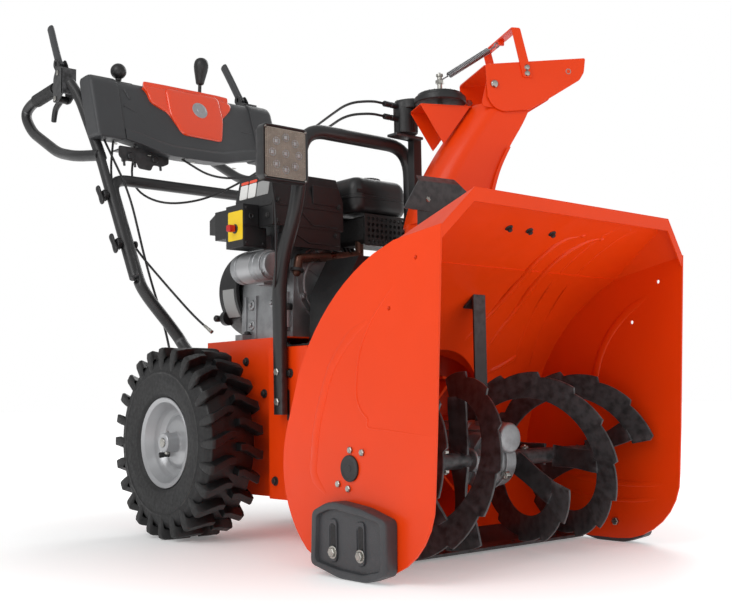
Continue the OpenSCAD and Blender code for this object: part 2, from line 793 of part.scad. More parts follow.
module tyre() {
    rotate([0, 90, 0]) rotate_extrude($fn = 96) polygon(concat(
        [[92, -40], [82, -41], [82, -46.5], [92, -49.5], [97, -57], [130, -59], [156, -57]],
        arc([158, -37], 20, -80, 0, 3), arc([158, 37], 20, 0, 80, 3),
        [[156, 57], [130, 59], [97, 57], [92, 49.5], [82, 46.5], [82, 41], [92, 40],
         [120, 48], [150, 42], [158, 0], [150, -42], [120, -48]]));
    for (i = [0:lugs - 1]) for (s = [-1, 1])
        rotate([(i + (s > 0 ? 0.5 : 0)) * 360 / lugs, 0, 0])
            translate([s > 0 ? 4 : -tyre_w / 2 + 1, -9, 172])
                cube([tyre_w / 2 - 5, 18, tyre_r - 172 - 0.4]);
    for (i = [0:lugs - 1]) for (s = [-1, 1])
        rotate([(i + (s > 0 ? 0.5 : 0)) * 360 / lugs, 0, 0])
            translate([s > 0 ? tyre_w / 2 - 6 : -tyre_w / 2 - 1, -8, 148]) cube([7, 16, 38]);
}

module tyres() color(black) shift() both() translate([tyre_mid, axle_y, axle_z]) tyre();

module hex_shaft() {
    color(steel) shift() {
        rod_x(-128, hex_y, disc_z, 9, 256);
        rod_x(-110, hex_y, disc_z, 11, 215, 6);
        spur_gear(100, hex_y, disc_z, hex_teeth, gear_m, 12, 8.8, mesh_a + 180);
    }
}

friction_r = 66;
disc_y = hex_y - friction_r - 8;

module friction_wheel() {
    color(black) shift() difference() {
        union() {
            rod_x(-8, hex_y, disc_z, friction_r, 16, 96);
            rod_x(-24, hex_y, disc_z, 26, 48);
        }
        rod_x(-40, hex_y, disc_z, 11.4, 80);
    }
}

module drive_disc() {
    color(steel) shift() {
        rod_y(0, disc_y, disc_z, 94, 7, 96);
        rod_y(0, 538, disc_z, 9.5, disc_y - 534);
        pulley(0, traction_y, disc_z, disc_pulley_r, 9.4);
    }
}

// ---------------------------------------------------------------- engine

base_z = 396;
block_front = 622;
block_rear = 800;

rope = [-78, 450];                              // where the starter rope comes out

module engine_block() {
    color([0.7, 0.7, 0.7]) shift() difference() {
        union() {
            hull() {
                translate([-88, block_front, base_z + 0.2]) cube([176, block_rear - block_front, 30]);
                rod_y(0, block_front, crank_z, 84, block_rear - block_front, 32);
            }
            // mounting feet
            for (x = [-110, 72]) for (y = [632, 766]) translate([x, y, base_z + 0.2]) cube([38, 26, 12]);
            // front cover with its rim
            rod_y(0, block_front - 6, crank_z, 78, 8);
            rod_y(0, block_front - 18, crank_z, 30, 20);
            // cylinder with cooling fins, leaning to the operator's left
            translate([0, 720, crank_z]) rotate([0, 58, 0]) {
                cylinder(r = 46, h = 150, $fn = 48);
                for (h = [84:9:146]) translate([-58, -54, h]) cube([116, 108, 3.5]);
            }
            // top of the case inside the shroud, with the tank's rest
            translate([-100, 650, 560]) cube([100, 90, 85]);
            translate([-100, 650, 640]) cube([100, 58, 25.7]);
            translate([-10, 664, 651]) cube([140, 34, 4.7]);
            // carburettor flange and oil filler
            translate([-118, 676, 560]) cube([60, 50, 44]);
            rod_z(-92, 640, base_z + 20, 15, 34);
        }
        rod_y(0, block_front - 40, crank_z, 14 + fit_gap, 260);
        rod_y(rope[0], 700, rope[1], 3.2, 140, 24);
    }
}

module crankshaft() {
    color(steel) shift() {
        rod_y(0, 500, crank_z, 14, 345);
        difference() {
            union() {
                pulley(0, impeller_pulley_y, crank_z, crank_pulley_r, 13.9);
                pulley(0, traction_y, crank_z, crank_pulley_r, 13.9);
            }
        }
        rod_y(0, 812, crank_z, 78, 24, 72);
        rod_y(0, 836, crank_z, 52, 9, 48);
    }
}

module engine_shroud() {
    color(black) shift() difference() {
        union() {
            translate([-158, 590, 612]) cube([178, 190, 40]);
            hull() {
                translate([-158, 590, 640]) cube([178, 128, 32]);
                translate([-150, 600, 640]) cube([160, 112, 80]);
            }
            // skirt in front of the block
            translate([-130, 590, 572]) cube([142, 22, 42]);
        }
        translate([-126, 594, 570]) cube([134, 20, 46]);
        translate([-152, 600, 600]) cube([166, 172, 46]);
        translate([-152, 600, 600]) cube([166, 110, 66]);
        // the tank's rest comes out here
        translate([10, 663.5, 650.5]) cube([20, 35, 5.7]);
    }
}

module recoil_housing() {
    color(black) shift() difference() {
        union() {
            rod_y(0, block_rear + 1, crank_z, 98, 70, 72);
            rod_y(0, block_rear + 70, crank_z, 70, 9, 72);
            rod_y(rope[0], 862, rope[1], 16, 14);
        }
        rod_y(0, block_rear - 1, crank_z, 94, 68, 72);
        for (i = [0:15]) rotate_about(crank_z, i * 22.5) translate([52, 860, -4]) cube([30, 30, 8]);
        rod_y(rope[0], 790, rope[1], 3.2, 100, 24);
        rod_y(0, block_rear + 60, crank_z, 24, 30);
    }
}

// Turn about the Y axis at height z, children then sit at that height
module rotate_about(z, a) translate([0, 0, z]) rotate([0, a, 0]) children();

module recoil_handle() {
    color(black) shift() {
        rod_x(rope[0] - 20, 890, rope[1], 7.5, 40, 24);
        rod_y(rope[0], 877, rope[1], 6, 12, 24);
        rod_y(rope[0], 716, rope[1], 2.6, 164, 16);
    }
}

module fuel_tank() {
    color(black) shift() {
        hull() {
            translate([40, 574, 664]) cube([150, 130, 50]);
            translate([48, 582, 656]) cube([134, 114, 76]);
        }
        rod_z(150, 660, 730, 21, 7);
    }
}

module fuel_cap() {
    color(black) shift() difference() {
        union() {
            rod_z(150, 660, 737.3, 27, 11);
            for (i = [0:11]) translate([150, 660, 737.3]) rotate(i * 30) translate([24, -3, 0])
                cube([5, 6, 11]);
        }
        rod_z(150, 660, 730, 10, 9);
    }
}

module muffler() {
    color(grey) shift() {
        hull() {
            translate([64, 578, 600]) cube([120, 84, 44]);
            translate([72, 584, 592]) cube([104, 72, 58]);
        }
        // perforated guard in front
        difference() {
            translate([58, 566, 586]) cube([132, 2.5, 66]);
            for (x = [68:12:184]) for (z = [594:12:648]) rod_y(x, 560, z, 4, 12, 16);
        }
        for (x = [64, 182]) translate([x, 568, 612]) cube([3, 16, 12]);
        // exhaust pipe across the engine's front
        hull() {
            translate([-84, 604, 552]) sphere(r = 9, $fn = 24);
            translate([74, 604, 569]) sphere(r = 9, $fn = 24);
        }
        hull() {
            translate([-84, 604, 552]) sphere(r = 9, $fn = 24);
            translate([-90, 604, 524]) sphere(r = 9, $fn = 24);
        }
        rod_z(74, 604, 569, 8.8, 36, 32);
        // outlet of the cylinder
        rod_y(110, 655, 606, 11, 10.7, 32);
    }
}

module starter_motor() {
    color(steel) shift() {
        rod_y(-148, 610, 535, 31, 96);
        rod_y(-148, 598, 535, 26, 13);
        hull() {
            rod_y(-148, 706, 535, 31, 8, 24);
            rod_y(-140, 736, 527, 18, 4, 24);
        }
        translate([-118, 640, 515]) cube([35, 40, 30]);
    }
}

key_y = 662;
key_z = 608;

module control_box() {
    color(black) shift() difference() {
        union() {
            translate([-196, 636, 571]) cube([37.5, 60, 85]);
            translate([-196, 636, 571]) cube([56, 60, 40.5]);
            translate([-192, 690, 594]) cube([33.5, 52, 58]);
            hull() {
                translate([-188, 740, 606]) cube([29.5, 6, 44]);
                translate([-178, 778, 612]) cube([19.5, 6, 30]);
            }
        }
        rod_x(-197, key_y, key_z, 3.6, 30, 24);
    }
}

module ignition_key() {
    color("red") shift() {
        rod_x(-206, key_y, key_z, 3.2, 30, 24);
        translate([-214, key_y - 7, key_z - 7]) cube([9, 14, 14]);
    }
}

module belt_cover() {
    color(black) shift() difference() {
        union() {
            extrude_y(frame_front + 2, 101)
                polygon([[-71, 373], [-66, 480], [-24, 550], [24, 550], [66, 480], [71, 373]]);
            translate([-148, frame_front + 2, 373]) cube([296, 101, 3]);
        }
        extrude_y(frame_front + 5, 95)
            polygon([[-67, 360], [-63, 479], [-22, 547], [22, 547], [63, 479], [67, 360]]);
        rod_y(0, 570, crank_z, 31, 60);
    }
}

// An outline in (x, z), extruded along Y
module extrude_y(y, w) translate([0, y + w, 0]) rotate([90, 0, 0]) linear_extrude(w) children();

// ---------------------------------------------------------------- handle

tube_r = tube_d / 2;
meet = handle_w / 2;
slope = 0.549;                                  // rearward run of the handle per unit of height
function run_y(z) = 990 + (z - 540) * slope;
low_x = meet - 3.2;
up_x = meet + 3.2;
fold_z = 618;
lock_z = 735;
bar_z = 780;
rear_dir = [0, -0.87, 0.48];

half_low = [[-142, 786, 285], [-142, 940, 387], [-152, 957, 418], [-low_x + 4, 978, 512],
    [-low_x, run_y(552), 552], [-low_x, run_y(bar_z), bar_z]];

function flip(p) = [for (q = p) [-q[0], q[1], q[2]]];

module handle_bolt_holes(r) for (z = [fold_z, lock_z]) rod_x(-300, run_y(z), z, r, 600, 32);

module lower_handle() {
    color(black) shift() difference() {
        tube(rounded(concat(half_low, turned(flip(half_low))), 46), tube_r, rear_dir, 12);
        both() translate([meet - 0.15, 900, 530]) cube([40, 300, 320]);
        // flattened where it is bolted to the frame
        both() translate([148, 770, 270]) cube([20, 118, 100]);
        handle_bolt_holes(4.2);
        for (p = handle_bolts) rod_x(-170, p[0], p[1], 4.2, 340, 24);
    }
}

loop_x = 262;
loop = [[-loop_x, 1262, 1034], [-loop_x, 1308, 1033], [-loop_x, 1478, 1024], [-loop_x, 1515, 1004],
    [-loop_x, 1470, 952], [-loop_x, 1318, 871], [-loop_x, 1225, 846], [-loop_x + 22, 1150, 838]];

module upper_side() {
    difference() {
        tube(rounded([[-up_x, run_y(540), 540], [-up_x, run_y(830), 830], [-240, run_y(900), 900],
            [-248, 1235, 990], [-loop_x + 2, 1262, 1030]], 30), tube_r, [1, 0, 0], 12);
        translate([-meet - 0.15, 900, 500]) cube([40, 300, 330]);
        for (z = [fold_z, lock_z]) rod_x(-300, run_y(z), z, 4.2, 100, 32);
    }
    difference() {
        tube(rounded(loop, 34), tube_r, [1, 0, 0], 12);
        translate([-meet - 0.15, 900, 500]) cube([40, 400, 330]);
    }
    // lever bracket on the loop's top run
    for (x = [-17, 13.6]) extrude_x(-loop_x + x, 3.4)
        polygon([[1264, 1004], [1264, 1066], [1280, 1072], [1300, 1072], [1314, 1050], [1314, 990],
            [1290, 988]]);
    translate([-loop_x - 17, 1262, 1004]) cube([34, 8, 62]);
    // pivot pins of the lever and the trigger
    rod_x(-loop_x - 18, pivot_y, pivot_z, 4, 36, 24);
    rod_x(-loop_x - 18, trig_y, trig_z, 4, 36, 24);
}

module upper_handle() color(black) shift() both() upper_side();

grip_out = 16;

module handle_grips() {
    color(black) shift() both() difference() {
        hull() {
            rod_y(-loop_x, 1336, 1031.8, grip_out, 4, 24);
            rod_y(-loop_x, 1438, 1026.3, grip_out, 4, 24);
        }
        hull() {
            rod_y(-loop_x, 1330, 1032, tube_r + gap, 4, 24);
            rod_y(-loop_x, 1450, 1025.6, tube_r + gap, 4, 24);
        }
    }
}

console_x = 258;

// Console sections across the machine: x, front bottom, front top, top front, top rear, rear bottom
function console_ring(x, fb, ft, d) = [[x, fb[0], fb[1]], [x, ft[0], ft[1]], [x, ft[0] + 16, ft[1] + 14],
    [x, ft[0] + d, ft[1] + 12], [x, ft[0] + d - 6, ft[1] - 20], [x, fb[0] + d, fb[1] + 2]];

module console_body(in) {
    skin([for (s = [[-1, 0], [-0.97, 1], [-0.72, 1], [-0.26, 2], [0.26, 2], [0.72, 1], [0.97, 1], [1, 0]])
        let (x = s[0] * (console_x - in),
             fb = s[1] == 2 ? [1094, 848] : s[1] == 1 ? [1118, 876] : [1130, 884],
             ft = s[1] == 0 ? [1176, 1014] : [1164, 1022],
             d = s[1] == 0 ? 46 : 66)
        console_ring(x, fb + [in, in], ft + [in, -in], d - 2 * in)]);
}

speed_x = 60;
lever_y = 1203;
stick_x = -165;

module console() {
    color(grey) shift() difference() {
        console_body(0);
        console_body(3);
        translate([-236, 1112, 830]) cube([472, 62, 52]);
        translate([speed_x - 9, lever_y - 26, 1020]) cube([18, 46, 40]);
        translate([stick_x - 26, lever_y - 9, 1020]) cube([52, 18, 40]);
        // room for the handle tubes
        both() tube([[-up_x, run_y(820), 820], [-240, run_y(900), 900], [-248, 1235, 990],
            [-256, 1280, 1046]], tube_r + 1, [1, 0, 0], 12);
    }
}

module console_cover() {
    color(orange) shift() {
        cover_part([[-126, 1158, 1022], [-104, 1140, 996], [128, 1150, 1004], [134, 1158, 1024]]);
        cover_part([[-104, 1140, 996], [-44, 1100, 908], [54, 1100, 908], [128, 1150, 1004]]);
    }
}

// A facet of the cover, 8 mm deep
module cover_part(c) hull() for (q = c) translate(q) rotate([-62, 0, 0]) translate([-2, -2, 0])
    cube([4, 4, 8]);

pivot_y = 1290;
pivot_z = 1058;

// Paddle of the -X side lever, in its raised rest position
module clutch_lever() {
    color(grey) {
        difference() {
            union() {
                for (x = [-loop_x - 12.5, -loop_x + 9.5]) extrude_x(x, 3)
                    polygon([[pivot_y - 8, pivot_z - 7], [pivot_y + 8, pivot_z - 7], [1324, 1086],
                        [1308, 1098]]);
                rod_x(-loop_x - 12.5, pivot_y, pivot_z, 8, 3);
                rod_x(-loop_x + 9.5, pivot_y, pivot_z, 8, 3);
            }
            rod_x(-loop_x - 40, pivot_y, pivot_z, 4.05, 80);
        }
        hull() {
            translate([-loop_x - 12.5, 1308, 1080]) cube([25, 8, 6]);
            rod_x(-loop_x - 9, 1320, 1096, 9, 18, 24);
            rod_x(-250 - 5, 1386, 1198, 9, 10, 24);
        }
    }
}

module right_clutch_lever() shift() clutch_lever();
module left_clutch_lever() shift() mirror([1, 0, 0]) clutch_lever();

trig_y = 1302;
trig_z = 998;

module trigger() {
    color(black) difference() {
        union() {
            rod_x(-loop_x - 12, trig_y, trig_z, 9, 24, 32);
            hull() {
                rod_x(-loop_x - 8, trig_y, trig_z, 8, 16, 24);
                rod_x(-loop_x - 7, 1334, 984, 7, 14, 24);
            }
            hull() {
                rod_x(-loop_x - 7, 1334, 984, 7, 14, 24);
                rod_x(-loop_x - 6, 1344, 956, 6, 12, 24);
            }
        }
        rod_x(-loop_x - 40, trig_y, trig_z, 4.05, 80);
    }
}

module right_trigger() shift() trigger();
module left_trigger() shift() mirror([1, 0, 0]) trigger();

module speed_lever() {
    color(black) shift() {
        rod_x(speed_x - 8, lever_y, 985, 8, 16, 32);
        translate([speed_x, lever_y, 985]) rotate([3, 0, 0]) cylinder(r = 4.5, h = 96, $fn = 24);
        hull() {
            translate([speed_x, lever_y - 6, 1078]) sphere(r = 11, $fn = 20);
            translate([speed_x, lever_y - 12, 1118]) sphere(r = 18, $fn = 20);
        }
    }
}

module chute_lever() {
    color(black) shift() {
        rod_y(stick_x, lever_y - 7, 985, 8, 14, 32);
        rod_z(stick_x, lever_y, 985, 4.5, 66, 24);
        translate([stick_x, lever_y, 1062]) sphere(r = 19, $fn = 24);
    }
}

module wing_knobs() {
    color(black) shift() both() for (z = [fold_z, lock_z]) {
        // the fold bolt goes through both tubes, the lock bolt holds in the outer one
        rod_x(-meet - 17, run_y(z), z, 4, z == fold_z ? 36 : 16.5, 32);
        if (z == fold_z) rod_x(-meet + 17, run_y(z), z, 9, 5, 24);
        rod_x(-meet - 28, run_y(z), z, 12, 11, 32);
        hull() {
            rod_x(-meet - 38, run_y(z) - 12, z - 20, 6, 14, 20);
            rod_x(-meet - 38, run_y(z) + 12, z + 20, 6, 14, 20);
        }
    }
}

cable_r = 2.6;
// Cable routes, chosen by hand
cable_routes = [
    [[-200, 1160, 884], [-205, 1166, 800], [-204, 1128, 700], [-196, 1070, 620], [-150, 990, 520],
     [-116, 940, 455], [-104, 890, 420]],
    [[-150, 1150, 872], [-150, 1172, 780], [-110, 1105, 730], [-20, 1060, 742], [60, 1010, 790],
     [60, 820, 830],
     [20, 640, 838], [-20, 530, 837], [6, 486, 836], [42.5, 486, 836]],
    [[-40, 1120, 850], [20, 1070, 800], [90, 960, 798], [70, 780, 860], [30, 640, 868], [-12, 530, 864],
     [12, 486, 862], [42.5, 486, 862]],
    [[-226, 1164, 888], [-210, 1064, 740], [-196, 1006, 560], [-166, 985, 440], [-166, 950, 350],
     [-150, 905, 322]]];

module control_cables() {
    color(black) shift() for (r = cable_routes) tube(rounded(r, 60, 3), cable_r, [0.3, 0.5, 0.81], 8);
}

side_plates();
housing_shell();
impeller_drum();
scraper_bar();
right_skid_shoe();
left_skid_shoe();
hex_bolts();
shaft_bearings();
gearcase_brace();
auger_gearcase();
auger_axle();
right_auger();
left_auger();
shear_bolts();
worm_wheel();
impeller();
impeller_shaft();
impeller_pulley();
chute();
deflector();
deflector_spring();
rotator_head();
rotator_bracket();
snow_shield();
light_hoop();
headlight();
headlight_lens();
frame_box();
wheel_axle();
wheel_rims();
tyres();
hex_shaft();
friction_wheel();
drive_disc();
engine_block();
engine_shroud();
recoil_housing();
recoil_handle();
fuel_tank();
fuel_cap();
muffler();
starter_motor();
control_box();
ignition_key();
crankshaft();
belts();
belt_cover();
lower_handle();
upper_handle();
console();
console_cover();
handle_grips();
right_clutch_lever();
left_clutch_lever();
right_trigger();
left_trigger();
speed_lever();
chute_lever();
wing_knobs();
control_cables();
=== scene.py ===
"""Looks of the two stage snowblower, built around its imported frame.

Places are given in the machine's own stations, in millimetres: x from its middle plane towards
the operator's left, y back from the side plates' front edge, z up from the ground. ROW turns a
form made in stations into the row frame."""

import json
from math import ceil, copysign, cos, pi, radians, sin, sqrt

import bmesh
import bpy
from mathutils import Matrix, Vector


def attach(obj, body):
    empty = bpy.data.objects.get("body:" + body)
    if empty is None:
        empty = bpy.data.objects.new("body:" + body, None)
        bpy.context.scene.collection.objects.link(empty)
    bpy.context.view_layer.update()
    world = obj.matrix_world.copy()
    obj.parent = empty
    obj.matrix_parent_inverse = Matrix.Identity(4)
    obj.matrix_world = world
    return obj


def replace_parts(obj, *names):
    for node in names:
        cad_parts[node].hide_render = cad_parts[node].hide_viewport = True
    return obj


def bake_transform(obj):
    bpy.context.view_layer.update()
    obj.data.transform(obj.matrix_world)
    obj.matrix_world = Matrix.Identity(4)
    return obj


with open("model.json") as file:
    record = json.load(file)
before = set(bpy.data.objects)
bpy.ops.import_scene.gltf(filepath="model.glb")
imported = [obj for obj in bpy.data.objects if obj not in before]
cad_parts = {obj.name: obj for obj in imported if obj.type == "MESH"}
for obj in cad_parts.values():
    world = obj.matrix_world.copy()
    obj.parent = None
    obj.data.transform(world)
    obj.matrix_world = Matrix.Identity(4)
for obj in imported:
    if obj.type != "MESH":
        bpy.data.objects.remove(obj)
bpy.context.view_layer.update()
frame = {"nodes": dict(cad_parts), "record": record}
nodes = frame["nodes"]
slot_of = {s["node"]: s["material_slot"] for s in frame["record"]["subparts"]}
body_of = {n: b for b, ns in frame["record"]["behaviour"]["bodies"].items() for n in ns}

MM = 0.001
SHIFT = Vector((-37.26, -744.29, 0))
ROW = Matrix.Scale(MM, 4) @ Matrix.Translation(SHIFT)

# Stations shared by several pieces
SIDE_X = 305                  # outside face of the +X side plate
AUGER = Vector((0, 190, 165))
IMPELLER_Z = 202
BACK_ARC = ((-18, 144), 377.5)   # upper back of the housing: centre in (y, z), radius
CHUTE_AXIS = Vector((118, 401, 0))
CHUTE_TURN = 64 - 90           # from straight back, in degrees
AXLE = Vector((0, 810, 190.5))
CRANK_Z = 505
LAMP = Vector((-214, 470, 721))
TUBE_SIDES = 36


def at(x, y, z):
    """A point given in stations, in the row frame."""
    return (Vector((x, y, z)) + SHIFT) * MM


def put(x, y, z):
    """A frame moved to a place."""
    return Matrix.Translation((x, y, z))


def turned(degrees, axis):
    return Matrix.Rotation(radians(degrees), 4, axis)


# ------------------------------------------------------------------ materials

def srgb(r, g, b):
    """A colour from 0-255 screen values."""
    return tuple(((v / 255 + 0.055) / 1.055) ** 2.4 if v > 10 else v / 3294.6 for v in (r, g, b)) + (1,)


class Look:
    """A short way to wire a material."""

    def __init__(self, name):
        self.material = bpy.data.materials.new(name)
        self.material.use_nodes = True
        self.tree = self.material.node_tree
        self.shader = self.tree.nodes["Principled BSDF"]
        self.coords = self.tree.nodes.new("ShaderNodeTexCoord").outputs["Object"]

    def link(self, source, target):
        self.tree.links.new(source, target)

    def mapped(self, stretch):
        """Object coordinates, pulled out along each axis by a factor."""
        if stretch is None:
            return self.coords
        m = self.tree.nodes.new("ShaderNodeMapping")
        m.inputs["Scale"].default_value = stretch
        self.link(self.coords, m.inputs["Vector"])
        return m.outputs["Vector"]

    def noise(self, scale, detail, stretch=None):
        n = self.tree.nodes.new("ShaderNodeTexNoise")
        n.inputs["Scale"].default_value = scale
        n.inputs["Detail"].default_value = detail
        self.link(self.mapped(stretch), n.inputs["Vector"])
        return n.outputs["Fac"]

    def cells(self, scale, stretch):
        n = self.tree.nodes.new("ShaderNodeTexVoronoi")
        n.inputs["Scale"].default_value = scale
        self.link(self.mapped(stretch), n.inputs["Vector"])
        return n.outputs["Distance"]

    def ramp(self, fac, low, high, a, b):
        """Goes over from a to b, colours or numbers, while fac goes from low to high."""
        n = self.tree.nodes.new("ShaderNodeValToRGB")
        n.color_ramp.elements[0].position = low
        n.color_ramp.elements[1].position = high
        n.color_ramp.elements[0].color = a if isinstance(a, tuple) else (a, a, a, 1)
        n.color_ramp.elements[1].color = b if isinstance(b, tuple) else (b, b, b, 1)
        self.link(fac, n.inputs["Fac"])
        return n.outputs["Color"]

    def bump(self, height, strength, distance):
        n = self.tree.nodes.new("ShaderNodeBump")
        n.inputs["Strength"].default_value = strength
        n.inputs["Distance"].default_value = distance
        self.link(height, n.inputs["Height"])
        return n.outputs["Normal"]

    def set(self, **values):
        for key, value in values.items():
            self.shader.inputs[key.replace("_", " ")].default_value = value


def darker(c, k):
    return tuple(v * k for v in c[:3]) + (1,)


def surface(name, colour, rough, vary=0.06, tone=0.92, tone_scale=9, grain=900, bump=0.12, depth=0.0002,
        cell=None, stretch=None, worn=None, **values):
    """A finish with a slow change of tone, a roughness that varies, a fine relief and, with worn,
    that colour showing on the edges."""
    n = Look(name)
    base = n.ramp(n.noise(tone_scale, 4), 0.35, 0.7, darker(colour, tone), colour)
    if worn:
        geometry = n.tree.nodes.new("ShaderNodeNewGeometry")
        mix = n.tree.nodes.new("ShaderNodeMix")
        mix.data_type = "RGBA"
        n.link(n.ramp(geometry.outputs["Pointiness"], 0.53, 0.62, 0.0, 1.0), mix.inputs["Factor"])
        n.link(base, mix.inputs["A"])
        n.link(n.ramp(n.noise(80, 3), 0.3, 0.6, colour, worn), mix.inputs["B"])
        base = mix.outputs["Result"]
    n.link(base, n.shader.inputs["Base Color"])
    n.link(n.ramp(n.noise(tone_scale * 6, 3), 0.3, 0.7, max(rough - vary, 0.02), rough + vary),
        n.shader.inputs["Roughness"])
    relief = n.cells(cell, stretch) if cell else n.noise(grain, 2, stretch)
    n.link(n.bump(relief, bump, depth), n.shader.inputs["Normal"])
    n.set(**values)
    return n.material


ORANGE = srgb(231, 63, 6)
materials = {
    "orange_paint": surface("orange powder coat", ORANGE, 0.36, 0.05, 0.93, 5, 420, 0.10, 0.0004,
                            Specular_IOR_Level=0.24, Coat_Weight=0.06, Coat_Roughness=0.1),
    "black_paint": surface("black powder coat", srgb(28, 28, 29), 0.42, 0.06, 0.92, 6, 700, 0.18, 0.0003,
                           worn=srgb(96, 96, 98), Coat_Weight=0.15, Coat_Roughness=0.3),
    "silver_paint": surface("silver paint", srgb(170, 171, 173), 0.34, 0.06, 0.9, 14, 900, 0.15, 0.0002,
                            Metallic=0.5),
    "zinc": surface("zinc plate", srgb(178, 176, 170), 0.3, 0.1, 0.75, 60, 800, 0.2, 0.0002, Metallic=1.0),
    "steel": surface("turned steel", srgb(150, 150, 152), 0.34, 0.1, 0.75, 40, 260, 0.25, 0.0002,
                     stretch=(8, 1, 1), Metallic=1.0),
    "casting": surface("cast aluminium", srgb(166, 168, 170), 0.46, 0.1, 0.72, 30, 480, 0.55, 0.0006,
                       Metallic=0.8),
    "gear_bronze": surface("bronze", srgb(168, 122, 62), 0.38, 0.1, 0.75, 50, 500, 0.2, 0.0002, Metallic=1.0),
    "grey_plastic": surface("grained grey plastic", srgb(55, 56, 58), 0.48, 0.05, 0.92, 8, 900, 0.45, 0.0004,
                            cell=700),
    "shoe_plastic": surface("skid shoe plastic", srgb(60, 61, 64), 0.46, 0.07, 0.85, 20, 900, 0.4, 0.0004,
                            cell=520),
    "black_plastic": surface("moulded black plastic", srgb(27, 27, 28), 0.42, 0.07, 0.85, 18, 900, 0.35,
                             0.0003, cell=800),
    "cover_plastic": surface("orange gloss plastic", ORANGE, 0.18, 0.03, 0.96, 6, 300, 0.05, 0.0003,
                             Coat_Weight=0.8, Coat_Roughness=0.05),
    "red_plastic": surface("red plastic", srgb(190, 24, 18), 0.35, 0.05, 0.9, 40, 900, 0.2, 0.0002),
    "lens": surface("lamp reflector", srgb(186, 172, 160), 0.2, 0.08, 0.8, 60, 300, 0.2, 0.0003,
                    Metallic=0.8),
    "dark_steel": surface("heat resistant paint", srgb(34, 33, 33), 0.6, 0.1, 0.8, 30, 600, 0.4, 0.0004),
    "tyre": surface("tyre rubber", srgb(24, 24, 25), 0.62, 0.1, 0.8, 24, 500, 0.5, 0.0006,
                    worn=srgb(58, 57, 55)),
    "rubber": surface("soft rubber", srgb(22, 22, 23), 0.55, 0.1, 0.85, 30, 700, 0.4, 0.0003),
}

# ------------------------------------------------------------------ mesh helpers

SMOOTH_ANGLE = 38             # faces that meet at less, in degrees, are shaded as one
SHARP = 40                    # edges that are sharper get rounded


def show(mesh, name, body, slot_name, look=None, smooth=SMOOTH_ANGLE):
    """Puts a mesh in the scene with its finish, and lets it ride on its body, if one is given."""
    piece = bpy.data.objects.new(name, mesh)
    bpy.context.scene.collection.objects.link(piece)
    mesh.materials.clear()
    mesh.materials.append(look or materials[slot_name])
    mesh.shade_smooth()
    mesh.set_sharp_from_angle(angle=radians(smooth))
    piece.modifiers.new("shading", "WEIGHTED_NORMAL").keep_sharp = True
    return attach(piece, body) if body else piece


forms = [bmesh.new()]


def soften(bm, width, angle=SHARP, segments=2):
    """Rounds every edge that is sharper than an angle."""
    edges = [e for e in bm.edges if len(e.link_faces) == 2 and e.calc_face_angle(0) > radians(angle)]
    bmesh.ops.bevel(bm, geom=edges, offset=width, segments=segments, profile=0.5, affect="EDGES",
        clamp_overlap=True, offset_type="OFFSET")


def finish(name, body, slot_name, edge=0, look=None, instead=None, smooth=SMOOTH_ANGLE):
    """Turns the form, made in stations, into a piece. It stands for the CAD node in instead, or, when its
    name ends in _form, for the node named before that."""
    bm = forms.pop()
    forms.append(bmesh.new())
    bmesh.ops.recalc_face_normals(bm, faces=bm.faces)
    if edge:
        soften(bm, edge)
    bm.transform(ROW)
    mesh = bpy.data.meshes.new(name)
    bm.to_mesh(mesh)
    bm.free()
    piece = show(mesh, name, body, slot_name, look, smooth)
    if name.endswith("_form"):
        instead = instead or name[:-5]
    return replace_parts(piece, instead) if instead else piece


def dressed(node, edge=0.8, angle=SHARP):
    """A copy of a CAD node with softened edges, shown in its place."""
    bm = bmesh.new()
    bm.from_mesh(nodes[node].data)
    bmesh.ops.remove_doubles(bm, verts=bm.verts, dist=1e-5)
    bmesh.ops.dissolve_limit(bm, angle_limit=radians(0.6), verts=bm.verts, edges=bm.edges)
    soften(bm, edge * MM, angle)
    mesh = bpy.data.meshes.new(node + "_form")
    bm.to_mesh(mesh)
    bm.free()
    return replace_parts(show(mesh, node + "_form", body_of[node], slot_of[node]), node)


def skin(rings, loop=False):
    """Joins closed rings of points with faces; loop joins the last ring to the first, otherwise both
    ends get a cap."""
    bm = forms[-1]
    rows = [[bm.verts.new(p) for p in ring] for ring in rings]
    count = len(rows[0])
    for a, b in list(zip(rows, rows[1:])) + ([(rows[-1], rows[0])] if loop else []):
        for j in range(count):
            k = (j + 1) % count
            bm.faces.new((a[j], b[j], b[k], a[k]))
    if not loop:
        bm.faces.new(rows[0])
        bm.faces.new(rows[-1])


def arc(centre, r, a0, a1, n):
    """Points of an arc in a plane, angles in degrees."""
    angles = (radians(a0 + (a1 - a0) * i / n) for i in range(n + 1))
    return [(centre[0] + r * cos(a), centre[1] + r * sin(a)) for a in angles]


def corner(a, q, b, r, n):
    """The curve that rounds the corner q of the line a q b, starting r before it."""
    s = q + (a - q).normalized() * min(r, (a - q).length * 0.49)
    e = q + (b - q).normalized() * min(r, (b - q).length * 0.49)
    return [s * (1 - t) ** 2 + q * 2 * t * (1 - t) + e * t * t for t in (k / n for k in range(n + 1))]


def eased(points, r, n=6):
    """A polyline with round corners."""
    p = [Vector(q) for q in points]
    out = [p[0]]
    for a, q, b in zip(p, p[1:], p[2:]):
        out += corner(a, q, b, r, n)
    return out + [p[-1]]


def closed_eased(points, r, n=5):
    """A closed outline with round corners."""
    p = [Vector(q) for q in points]
    out = []
    for i, q in enumerate(p):
        out += [tuple(v) for v in corner(p[i - 1], q, p[(i + 1) % len(p)], r, n)]
    return out


def inset_line(points, d):
    """A closed outline moved inwards."""
    middle = sum((Vector(p) for p in points), Vector((0, 0))) / len(points)
    return [tuple(Vector(p) + (middle - Vector(p)).normalized() * d) for p in points]


